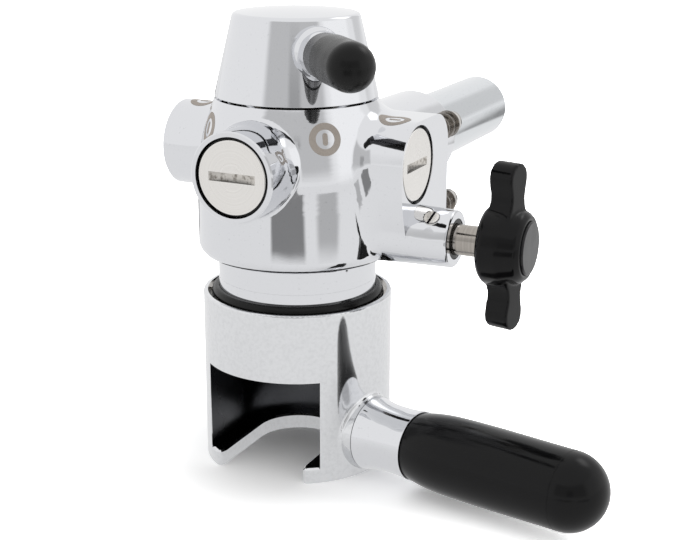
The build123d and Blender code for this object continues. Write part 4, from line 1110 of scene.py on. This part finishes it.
@dataclass
class BleedValve:
    """The bleed valve's spindle, gland face, lock screw and wing knob, in millimetres.

    Attributes:
        height: height of the valve's axis.
        knob: distance of the knob's back from the upright axis.
        disc: where the grey disc on the knob starts and ends past that, and its radius.
        cell: size of the cells in which the moulded knob is rounded off.
        spindle: outline of the spindle.
        wiper: outline of the rubber lip round it.
        screw: outline of the gland's lock screw.
        screw_x: how far to the right the screw sits.
        screw_rise: its direction above the front in degrees.
        screw_turn: how far its slot leans from upright, in degrees.
        slot: length, width and depth of its slot, and the radius round the slot's faces.
    """

    height: float = 77.4
    knob: float = 63.0
    disc: tuple[float, float, float] = (12.6, 14.0, 8.0)
    cell: float = 0.34
    spindle: Outline = (
        (37.4, 0),
        (37.4, 3.2),
        (44.4, 3.2),
        (44.4, 4.65),
        (65.0, 4.65, 0.2, 2),
        (65.0, 3.5),
        (72.0, 3.5),
        (72.0, 0),
    )
    wiper: Outline = ((52.42, 4.7), (52.42, 6.2), (53.4, 6.2, 0.15, 2), (53.4, 4.7, 0.3, 3))
    screw: Outline = (
        (5.3, 0),
        (5.3, 1.5),
        (7.92, 1.5),
        (7.92, 2.5),
        (9.2, 2.5, 0.3, 4),
        (9.2, 0),
    )
    screw_x: float = 47.6
    screw_rise: float = 53.0
    screw_turn: float = 12.0
    slot: tuple[float, float, float, float] = (5.6, 0.8, 0.9, 2.45)

    def build(self, nodes: dict) -> None:
        """Makes the pieces of the valve that show.

        Args:
            nodes: the CAD nodes by name.
        """
        lathe = Lathe(Vector((0, 0, self.height)), Vector((1, 0, 0)), 96)
        spindle = finish_mesh("bleed_valve_spindle", lathe.turn(self.spindle))
        finish = TurnedSteel.BRIGHT.about(lathe, "spindle")
        dress(spindle, finish, Body.KNOB, ("bleed_spindle",))
        lip = finish_mesh("bleed_valve_wiper", lathe.turn(self.wiper, ring=True))
        dress(lip, BLACK_RUBBER, Body.TAP, ("spindle_wiper",))
        self.lock_screw()
        self.wings(nodes["wing_knob"])
        back, front, radius = self.knob + self.disc[0], self.knob + self.disc[1], self.disc[2]
        disc = [(back, 0), (back, radius), (front, radius, 0.5, 6), (front, 0)]
        cap = finish_mesh("knob_disc", lathe.turn(disc))
        dress(cap, GREY_PLASTIC, Body.KNOB, ("knob_cap",))

    def lock_screw(self) -> None:
        """Makes the small slotted screw that locks the gland."""
        out, right = heading(0.0, self.screw_rise), Vector((1, 0, 0))
        lathe = Lathe(Vector((self.screw_x, 0, self.height)), out, 64)
        screw = finish_mesh("gland_screw", lathe.turn(self.screw))
        turn = math.radians(self.screw_turn)
        along = (out.cross(right) * math.cos(turn) + right * math.sin(turn)).normalized()
        face = self.screw[-1][0]
        slot = DriverSlot(lathe, face, along, *self.slot)
        slot.cut(screw)
        finish = TurnedSteel.FACED.about(lathe, "gland_screw")
        dress(screw, finish, Body.TAP, ("gland_lock_screw",))
        # The screw's whole slot gets painted shade
        restain(screw, PAINTED_SHADE, slot.holds)

    def wings(self, node: bpy.types.Object) -> None:
        """Makes the moulded wing knob with the soft edges of its mould.

        Args:
            node: the CAD knob, of which a copy is rounded off.
        """
        knob = merged_copy(node, "moulded_wing_knob")
        knob.modifiers.clear()
        cells = knob.modifiers.new("cells", "REMESH")
        cells.mode = "VOXEL"
        cells.voxel_size = self.cell * MM
        soften = knob.modifiers.new("soften", "SMOOTH")
        soften.factor = 0.5
        soften.iterations = 10
        for name in ("cells", "soften"):
            bake_modifier(knob, name)
        for polygon in knob.data.polygons:
            polygon.use_smooth = True
        dress(knob, BLACK_PLASTIC, Body.KNOB, ("wing_knob",))


@dataclass
class HoseBarbs:
    """Two ridged barbs for gas hoses behind the block, in millimetres.

    Attributes:
        right: distance of their axes to the right.
        bore: radius of the bore.
        stub: where the hidden stub starts, and its radius.
        collar: where the collar starts and ends along the axis.
        root: radius between the ridges.
        ridge: radius of the ridges and of the collar.
        pitch: distance from ridge to ridge.
        crest: how much of that the ridge's crest takes up.
        barbs: CAD node to the barb's height and where it ends.
    """

    right: float = 34.0
    bore: float = 2.0
    stub: tuple[float, float] = (12.5, 3.6)
    collar: tuple[float, float] = (22.7, 27.0)
    root: float = 3.5
    ridge: float = 4.4
    pitch: float = 4.5
    crest: float = 1.0
    barbs: dict[str, tuple[float, float]] = field(
        default_factory=lambda: {
            "lower_hose_barb": (78.1, 43.5),
            "upper_hose_barb": (103.8, 45.0),
        }
    )

    def build(self) -> None:
        """Makes both barbs."""
        for node, (height, end) in self.barbs.items():
            lathe = Lathe(Vector((self.right, 0, height)), Vector((0, 1, 0)), 72)
            barb = finish_mesh(f"ridged_{node}", lathe.turn(self.outline(end), ring=True))
            dress(barb, TurnedSteel.BRIGHT.about(lathe, node), Body.TAP, (node,))

    def outline(self, end: float) -> list[tuple]:
        """Gives a barb's outline with its three ridges.

        Args:
            end: where the barb ends.

        Returns:
            The outline.
        """
        (start, stub_r), (shoulder, neck) = self.stub, self.collar
        outline = [(start, self.bore), (start, stub_r), (shoulder, stub_r), (shoulder, self.ridge)]
        outline += [(neck, self.ridge, 0.3, 3), (neck, self.root)]
        for row in (3, 2, 1):
            back = end - row * self.pitch
            outline += [(back, self.root), (back, self.ridge, 0.12, 2)]
            outline.append((back + self.pitch - self.crest, self.root))
        return outline + [(end, self.root, 0.3, 3), (end, self.bore, 0.3, 3)]


@dataclass
class WinePipe:
    """The drawn pipe at the back, in millimetres.

    Attributes:
        height: height of its axis.
        radius: its radius.
        wall: its wall.
        step: how much thinner it is inside its boss.
        start: where its hidden end lies along the axis.
        boss: where it leaves the boss.
        end: where it ends.
    """

    height: float = 87.6
    radius: float = 12.5
    wall: float = 1.5
    step: float = 0.3
    start: float = 45.02
    boss: float = 94.42
    end: float = 163.0

    def build(self) -> None:
        """Makes the pipe."""
        inner, seat = self.radius - self.wall, self.radius - self.step
        outline = [
            (self.start, inner),
            (self.start, seat),
            (self.boss, seat),
            (self.boss, self.radius, 0.15, 2),
            (self.end, self.radius, 0.5, 5),
            (self.end, inner, 0.5, 5),
        ]
        lathe = Lathe(Vector((0, 0, self.height)), Vector((0, 1, 0)), 144)
        pipe = finish_mesh("drawn_wine_pipe", lathe.turn(outline, ring=True))
        dress(pipe, TUBE_CHROME, Body.TAP, ("rear_pipe",))


@dataclass
class PositionMarks:
    """Laser marks on the body that show the lever's positions: a ring round an upright bar.

    Attributes:
        radius: outer radius of each mark's ring in millimetres.
        inner: inner radius of the ring.
        bar: width and height of the bar.
        lift: how far the marks stand proud of the plate.
        height: height from which the barrel's marks are looked for.
        rise: their direction above the level in degrees.
        barrel: azimuth of each mark on the barrel.
        bosses: where each mark on a boss is, and which way its bar stands.
        reach: how far out the search for the marks starts, on the barrel and on a boss.
    """

    radius: float = 4.85
    inner: float = 2.85
    bar: tuple[float, float] = (1.6, 3.7)
    lift: float = 0.03
    height: float = 99.6
    rise: float = 17.0
    barrel: dict[str, float] = field(
        default_factory=lambda: {"right_front": 44.6, "left_front": -45.0}
    )
    bosses: dict[str, tuple[tuple, tuple]] = field(
        default_factory=lambda: {
            "left": ((-32.5, 0, 98.8), (1, 0, 0)),
            "right": ((33.0, 0, 98.8), (-1, 0, 0)),
        }
    )
    reach: tuple[float, float] = (80.0, 40.0)

    def build(self, body: bpy.types.Object) -> None:
        """Lays the marks on the body.

        Args:
            body: the casting that carries them.
        """
        bm = bmesh.new()
        bm.from_mesh(body.data)
        tree = BVHTree.FromBMesh(bm)
        bm.free()
        upright, axis = Vector((0, 0, 1)), Vector((0, 0, self.height))
        for name, azimuth in self.barrel.items():
            self.mark(tree, name, axis, heading(azimuth, self.rise), upright, self.reach[0])
        for name, (centre, up) in self.bosses.items():
            self.mark(tree, name, Vector(centre), upright, Vector(up), self.reach[1])

    def mark(
        self, tree: BVHTree, name: str, centre: Vector, out: Vector, up: Vector, reach: float
    ) -> None:
        """Lays one mark on the plate.

        Args:
            tree: the casting's surface.
            name: where the mark is.
            centre: point from which the mark is looked for along its direction, in millimetres.
            out: direction out of the plate.
            up: the bar's upright.
            reach: distance from which it is looked for.
        """
        across = up.cross(out).normalized()
        upright = out.cross(across).normalized()
        bm = self.flat()
        for vert in bm.verts:
            start = (centre + across * vert.co.x + upright * vert.co.y + out * reach) * MM
            hit, normal, _, _ = tree.ray_cast(start, -out)
            vert.co = hit + normal * self.lift * MM
        bmesh.ops.recalc_face_normals(bm, faces=bm.faces[:])
        for face in bm.faces:
            if face.normal.dot(out) < 0:
                face.normal_flip()
        piece = finish_mesh(f"position_mark_{name}", bm)
        piece.data.materials.append(LASER_MARK.material())
        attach(piece, Body.TAP.value)
        LOG.info("%s lies on the casting", piece.name)

    def flat(self) -> bmesh.types.BMesh:
        """Draws the ring and the round-ended bar flat, in millimetres.

        Returns:
            The flat mesh.
        """
        bm = bmesh.new()
        loops = [
            bmesh.ops.create_circle(bm, segments=64, radius=radius)["verts"]
            for radius in (self.inner, (self.inner + self.radius) / 2, self.radius)
        ]
        for first, second in zip(loops, loops[1:]):
            pair = set(first) | set(second)
            free = [edge for edge in bm.edges if len(edge.link_faces) < 2]
            free = [edge for edge in free if pair.issuperset(edge.verts)]
            bmesh.ops.bridge_loops(bm, edges=free)
        width, height = self.bar
        stretch = (height - width) / 2
        stem = bmesh.ops.create_circle(bm, cap_ends=True, segments=32, radius=width / 2)["verts"]
        for vert in stem:
            if abs(vert.co.y) > 1e-6:
                vert.co.y += math.copysign(stretch, vert.co.y)
        return bm


@dataclass
class InnerWorks:
    """Finishes for the CAD nodes that stay as they are, nearly all hidden inside.

    Attributes:
        finishes: the finish of each of the record's slots.
    """

    finishes: dict[Slot, Finish] = field(
        default_factory=lambda: {
            Slot.BRIGHT: BRIGHT_CHROME,
            Slot.SATIN: SATIN_CHROME,
            Slot.STEEL: PLAIN_STEEL,
            Slot.BRASS: PLAIN_BRASS,
            Slot.DARK: DARK_STEEL,
            Slot.RUBBER: BLACK_RUBBER,
            Slot.SEAL: SEAL_RUBBER,
            Slot.BLACK: BLACK_PLASTIC,
            Slot.GREY: GREY_PLASTIC,
            Slot.WHITE: WHITE_POLYMER,
        }
    )

    def build(self, frame: dict) -> None:
        """Gives every CAD node that still shows its finish.

        Args:
            frame: what the frame's loading gave.
        """
        slots = {part["node"]: part["material_slot"] for part in frame["record"]["subparts"]}
        for name, node in frame["nodes"].items():
            if node.hide_render:
                continue
            node.data.materials.clear()
            node.data.materials.append(self.finishes[Slot(slots[name])].material())
            LOG.info("%s keeps its CAD shape", name)


@dataclass(frozen=True)
class Card:
    """A grey or bright card with soft edges that only gleaming surfaces see.

    Attributes:
        name: the card's name.
        azimuths: first and last azimuth in degrees.
        near: distance of its near edge from the upright axis and its height, in metres.
        far: the same of its far edge.
        tone: its brightness, where white is 1.
        side_fade: degrees over which its sides fade out.
        edge_fade: share of its depth over which its near and far edges fade out.
        strip: width in degrees of the flat strips that make it round.
    """

    name: str
    azimuths: tuple[float, float]
    near: tuple[float, float]
    far: tuple[float, float]
    tone: float
    side_fade: float
    edge_fade: float
    strip: float = 3.0

    def build(self) -> None:
        """Stands the card up."""
        bm = bmesh.new()
        first, last = self.azimuths
        steps = max(2, round((last - first) / self.strip))
        rows = []
        for step in range(steps + 1):
            out = heading(first + (last - first) * step / steps)
            ends = (out * reach + Vector((0, 0, height)) for reach, height in (self.near, self.far))
            rows.append([bm.verts.new(end) for end in ends])
        for left, right in zip(rows, rows[1:]):
            bm.faces.new((left[0], left[1], right[1], right[0]))
        card = put_object(self.name, bm)
        card.visible_camera = False
        card.visible_diffuse = False
        card.visible_shadow = False
        card.data.materials.append(self.material())

    def material(self) -> bpy.types.Material:
        """Makes the card's glow, which fades towards its edges.

        Returns:
            The material.
        """
        material, tree = empty_material(self.name)
        turn, depth = self.place(tree)
        first, last = (math.radians(azimuth) for azimuth in self.azimuths)
        side = math.radians(self.side_fade)
        cover = None
        for value, start, end in (
            (turn, first, first + side),
            (turn, last, last - side),
            (depth, 0.0, self.edge_fade),
            (depth, 1.0, 1.0 - self.edge_fade),
        ):
            span = {"Value": value, "From Min": start, "From Max": end}
            ramp = add_node(tree, "ShaderNodeMapRange", span, interpolation_type="SMOOTHSTEP")
            if cover is not None:
                ramp = add_node(tree, "ShaderNodeMath", {0: cover, 1: ramp}, operation="MULTIPLY")
            cover = ramp
        glow = add_node(tree, "ShaderNodeEmission", {"Color": WHITE, "Strength": self.tone})
        clear = add_node(tree, "ShaderNodeBsdfTransparent")
        mix = {0: cover, 1: clear, 2: glow}
        mix = add_node(tree, "ShaderNodeMixShader", mix)
        add_node(tree, "ShaderNodeOutputMaterial", {"Surface": mix})
        return material

    def place(self, tree: Tree) -> tuple[Source, Source]:
        """Makes the nodes that tell where on the card a point lies.

        Args:
            tree: the node tree that gets the nodes.

        Returns:
            The azimuth in radians, and the share of the way from the near to the far edge.
        """
        place = add_node(tree, "ShaderNodeTexCoord").outputs["Object"]
        parts = add_node(tree, "ShaderNodeSeparateXYZ", {"Vector": place}).outputs
        front = add_node(tree, "ShaderNodeMath", {0: parts["Y"], 1: -1.0}, operation="MULTIPLY")
        turn = {0: parts["X"], 1: front}
        turn = add_node(tree, "ShaderNodeMath", turn, operation="ARCTAN2")
        flat = add_node(tree, "ShaderNodeCombineXYZ", {"X": parts["X"], "Y": parts["Y"]})
        reach = add_node(tree, "ShaderNodeVectorMath", {0: flat}, operation="LENGTH")
        near = Vector(self.near)
        step = Vector(self.far) - near
        step /= step.length_squared
        rise = {0: parts["Z"], 1: step.y, 2: -near.dot(step)}
        rise = add_node(tree, "ShaderNodeMath", rise, operation="MULTIPLY_ADD")
        depth = {0: reach, 1: step.x, 2: rise}
        depth = add_node(tree, "ShaderNodeMath", depth, operation="MULTIPLY_ADD")
        return turn, depth


@dataclass(frozen=True)
class Softbox:
    """A soft round lamp that looks at the object and shows in no gleam.

    Attributes:
        azimuth: where it stands, in degrees from the front towards +X.
        rise: how high it stands, in degrees above the level.
        away: its distance from the object's foot in metres.
        width: width of its disc in metres.
        power: its power in watts.
        aim: height in metres of the point it looks at.
    """

    azimuth: float = 150.0
    rise: float = 51.0
    away: float = 1.0
    width: float = 0.4
    power: float = 1.0
    aim: float = 0.07

    def build(self) -> None:
        """Hangs the lamp up."""
        light = bpy.data.lights.new("top_softbox", "AREA")
        light.energy = self.power
        light.shape = "DISK"
        light.size = self.width
        lamp = bpy.data.objects.new("top_softbox", light)
        lamp.visible_glossy = False
        lamp.location = heading(self.azimuth, self.rise) * self.away
        look = Vector((0, 0, self.aim)) - lamp.location
        lamp.rotation_euler = look.to_track_quat("-Z", "Y").to_euler()
        bpy.context.scene.collection.objects.link(lamp)


@dataclass(frozen=True)
class Viewpoint:
    """The camera where the photograph was taken from, as fitted to the photograph.

    Attributes:
        azimuth: where it stands, in radians from the front towards +X.
        pitch: how steeply it looks down, in radians.
        roll: its tilt about its own axis, in radians.
        distance: its distance from the point it looks at, in millimetres.
        aim: how far right and how high that point lies, in millimetres.
        focal: focal length in pixels of the frame.
        frame: width of the frame in pixels.
        sensor: width of the sensor in millimetres.
        clip: nearest and farthest distance that it sees, in metres.
    """

    azimuth: float = 0.44016
    pitch: float = 0.295409
    roll: float = 0.00643473
    distance: float = 431.1495
    aim: tuple[float, float] = (16.70825, 60.5638)
    focal: float = 1351.166
    frame: int = 700
    sensor: float = 36.0
    clip: tuple[float, float] = (0.01, 50.0)

    def build(self) -> None:
        """Places the camera."""
        right = Vector((math.cos(self.azimuth), math.sin(self.azimuth), 0))
        toward = Vector((math.sin(self.azimuth), -math.cos(self.azimuth), 0))
        back = toward * math.cos(self.pitch) + Vector((0, 0, math.sin(self.pitch)))
        up = back.cross(right)
        level = right * math.cos(self.roll) + up * math.sin(self.roll)
        upward = up * math.cos(self.roll) - right * math.sin(self.roll)
        place = right * self.aim[0] + Vector((0, 0, self.aim[1])) + back * self.distance
        data = bpy.data.cameras.new("camera")
        data.sensor_width = self.sensor
        data.lens = self.focal * self.sensor / self.frame
        data.clip_start, data.clip_end = self.clip
        camera = bpy.data.objects.new("camera", data)
        turn = Matrix((level, upward, back)).transposed().to_4x4()
        camera.matrix_world = Matrix.Translation(place * MM) @ turn
        bpy.context.scene.collection.objects.link(camera)
        bpy.context.scene.camera = camera


@dataclass
class Studio:
    """White table, one soft lamp, cards for the plate to reflect, and the camera.

    Attributes:
        table: width of the table in metres and how far it lies under the object.
        paper: sRGB hex of the table.
        paper_rough: its roughness.
        paper_gleam: its specular level.
        sky: brightness of the white surroundings as the object's light.
        clean: share of plain white in the table as the plate mirrors it.
        whiten: how much paler the camera sees the table, under the object and away from it.
        under: radii in metres between which that changes.
        cards: the cards that give the plate its darker and brighter bands.
    """

    table: tuple[float, float] = (8.0, 0.02 * MM)
    paper: str = "#F7F7F7"
    paper_rough: float = 0.9
    paper_gleam: float = 0.1
    sky: float = 0.85
    clean: float = 0.6
    whiten: tuple[float, float] = (0.45, 2.2)
    under: tuple[float, float] = (0.03, 0.1)
    cards: tuple[Card, ...] = (
        Card("grey_floor_front", (-3.0, 38.0), (0.255, 0.001), (1.2, 0.001), 0.27, 5.0, 0.03),
        Card("grey_floor_right", (46.0, 76.0), (0.25, 0.001), (1.2, 0.001), 0.55, 7.0, 0.06),
        Card("grey_floor_back", (160.0, 178.0), (0.41, 0.001), (1.6, 0.001), 0.35, 5.0, 0.05),
        Card("grey_floor_left", (-150.0, -122.0), (0.25, 0.001), (1.2, 0.001), 0.4, 6.0, 0.05),
        Card("grey_wall_back", (138.0, 179.0), (1.7, 0.1), (1.7, 1.2), 0.78, 8.0, 0.15),
        Card("grey_behind_camera", (-24.0, 72.0), (1.0, 0.06), (1.0, 0.85), 0.64, 10.0, 0.2),
        Card("dark_at_camera", (13.0, 36.0), (0.95, 0.1), (0.95, 0.5), 0.42, 7.0, 0.3),
        Card("bright_right", (70.0, 130.0), (1.0, 0.02), (0.8, 0.7), 1.14, 10.0, 0.2),
        Card("soft_top_light", (126.0, 174.0), (0.85, 0.6), (0.5, 1.0), 2.6, 16.0, 0.45),
    )

    def build(self) -> None:
        """Makes the whole studio."""
        self.floor()
        self.surroundings()
        for thing in (Softbox(), *self.cards, Viewpoint()):
            thing.build()

    def mirrored(self, tree: Tree) -> Source:
        """Gives a socket that is 1 where a gleaming surface or clear glass looks.

        Args:
            tree: the node tree that gets the nodes.

        Returns:
            The socket.
        """
        path = add_node(tree, "ShaderNodeLightPath").outputs
        either = {0: path["Is Glossy Ray"], 1: path["Is Transmission Ray"]}
        return add_node(tree, "ShaderNodeMath", either, operation="MAXIMUM")

    def floor(self) -> None:
        """Makes the white table, which keeps the object's shadow."""
        width, drop = self.table
        bm = bmesh.new()
        bmesh.ops.create_grid(bm, x_segments=1, y_segments=1, size=width / 2)
        bmesh.ops.translate(bm, vec=Vector((0, 0, -drop)), verts=bm.verts[:])
        table = put_object("table", bm)
        material, tree = empty_material("white_table")
        place = add_node(tree, "ShaderNodeTexCoord").outputs["Object"]
        camera = add_node(tree, "ShaderNodeLightPath").outputs["Is Camera Ray"]
        reach = add_node(tree, "ShaderNodeVectorMath", {0: place}, operation="LENGTH")
        span = {"Value": reach, "From Min": self.under[0]}
        span |= {"From Max": self.under[1], "To Min": self.whiten[0], "To Max": self.whiten[1]}
        paler = add_node(tree, "ShaderNodeMapRange", span, interpolation_type="SMOOTHSTEP")
        pale = {0: camera, 1: paler, 2: 1.0}
        pale = add_node(tree, "ShaderNodeMath", pale, operation="MULTIPLY_ADD")
        tint = {0: linear(self.paper)[:3], "Scale": pale}
        tint = add_node(tree, "ShaderNodeVectorMath", tint, operation="SCALE")
        paper = {"Base Color": tint, "Roughness": self.paper_rough}
        paper |= {"Specular IOR Level": self.paper_gleam}
        paper = add_node(tree, "ShaderNodeBsdfPrincipled", paper)
        share = {0: self.mirrored(tree), 1: self.clean}
        share = add_node(tree, "ShaderNodeMath", share, operation="MULTIPLY")
        glow = add_node(tree, "ShaderNodeEmission", {"Color": WHITE, "Strength": 1.0})
        mix = {0: share, 1: paper, 2: glow}
        mix = add_node(tree, "ShaderNodeMixShader", mix)
        add_node(tree, "ShaderNodeOutputMaterial", {"Surface": mix})
        table.data.materials.append(material)

    def surroundings(self) -> None:
        """Makes the world's even white light."""
        world = bpy.data.worlds.new("white_surroundings")
        bpy.context.scene.world = world
        world.use_nodes = True
        tree = world.node_tree
        tree.nodes.clear()
        camera = add_node(tree, "ShaderNodeLightPath").outputs["Is Camera Ray"]
        seen = {0: camera, 1: self.mirrored(tree)}
        seen = add_node(tree, "ShaderNodeMath", seen, operation="MAXIMUM")
        level = {0: seen, 1: 1.0 - self.sky, 2: self.sky}
        level = add_node(tree, "ShaderNodeMath", level, operation="MULTIPLY_ADD")
        light = {"Color": WHITE, "Strength": level}
        light = add_node(tree, "ShaderNodeBackground", light)
        add_node(tree, "ShaderNodeOutputWorld", {"Surface": light})


def main() -> None:
    """Loads the frame, dresses it and sets the studio."""
    for thing in list(bpy.data.objects):
        bpy.data.objects.remove(thing)
    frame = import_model()
    nodes = frame["nodes"]
    body = TapCasting().build(nodes)
    PortPlugs().build()
    RotaryCap().build()
    BottleClamp().build(nodes)
    BleedValve().build(nodes)
    HoseBarbs().build()
    WinePipe().build()
    PositionMarks().build(body)
    InnerWorks().build(frame)
    Studio().build()
    bpy.context.scene.view_settings.view_transform = "Standard"


if __name__ == "__main__":
    main()
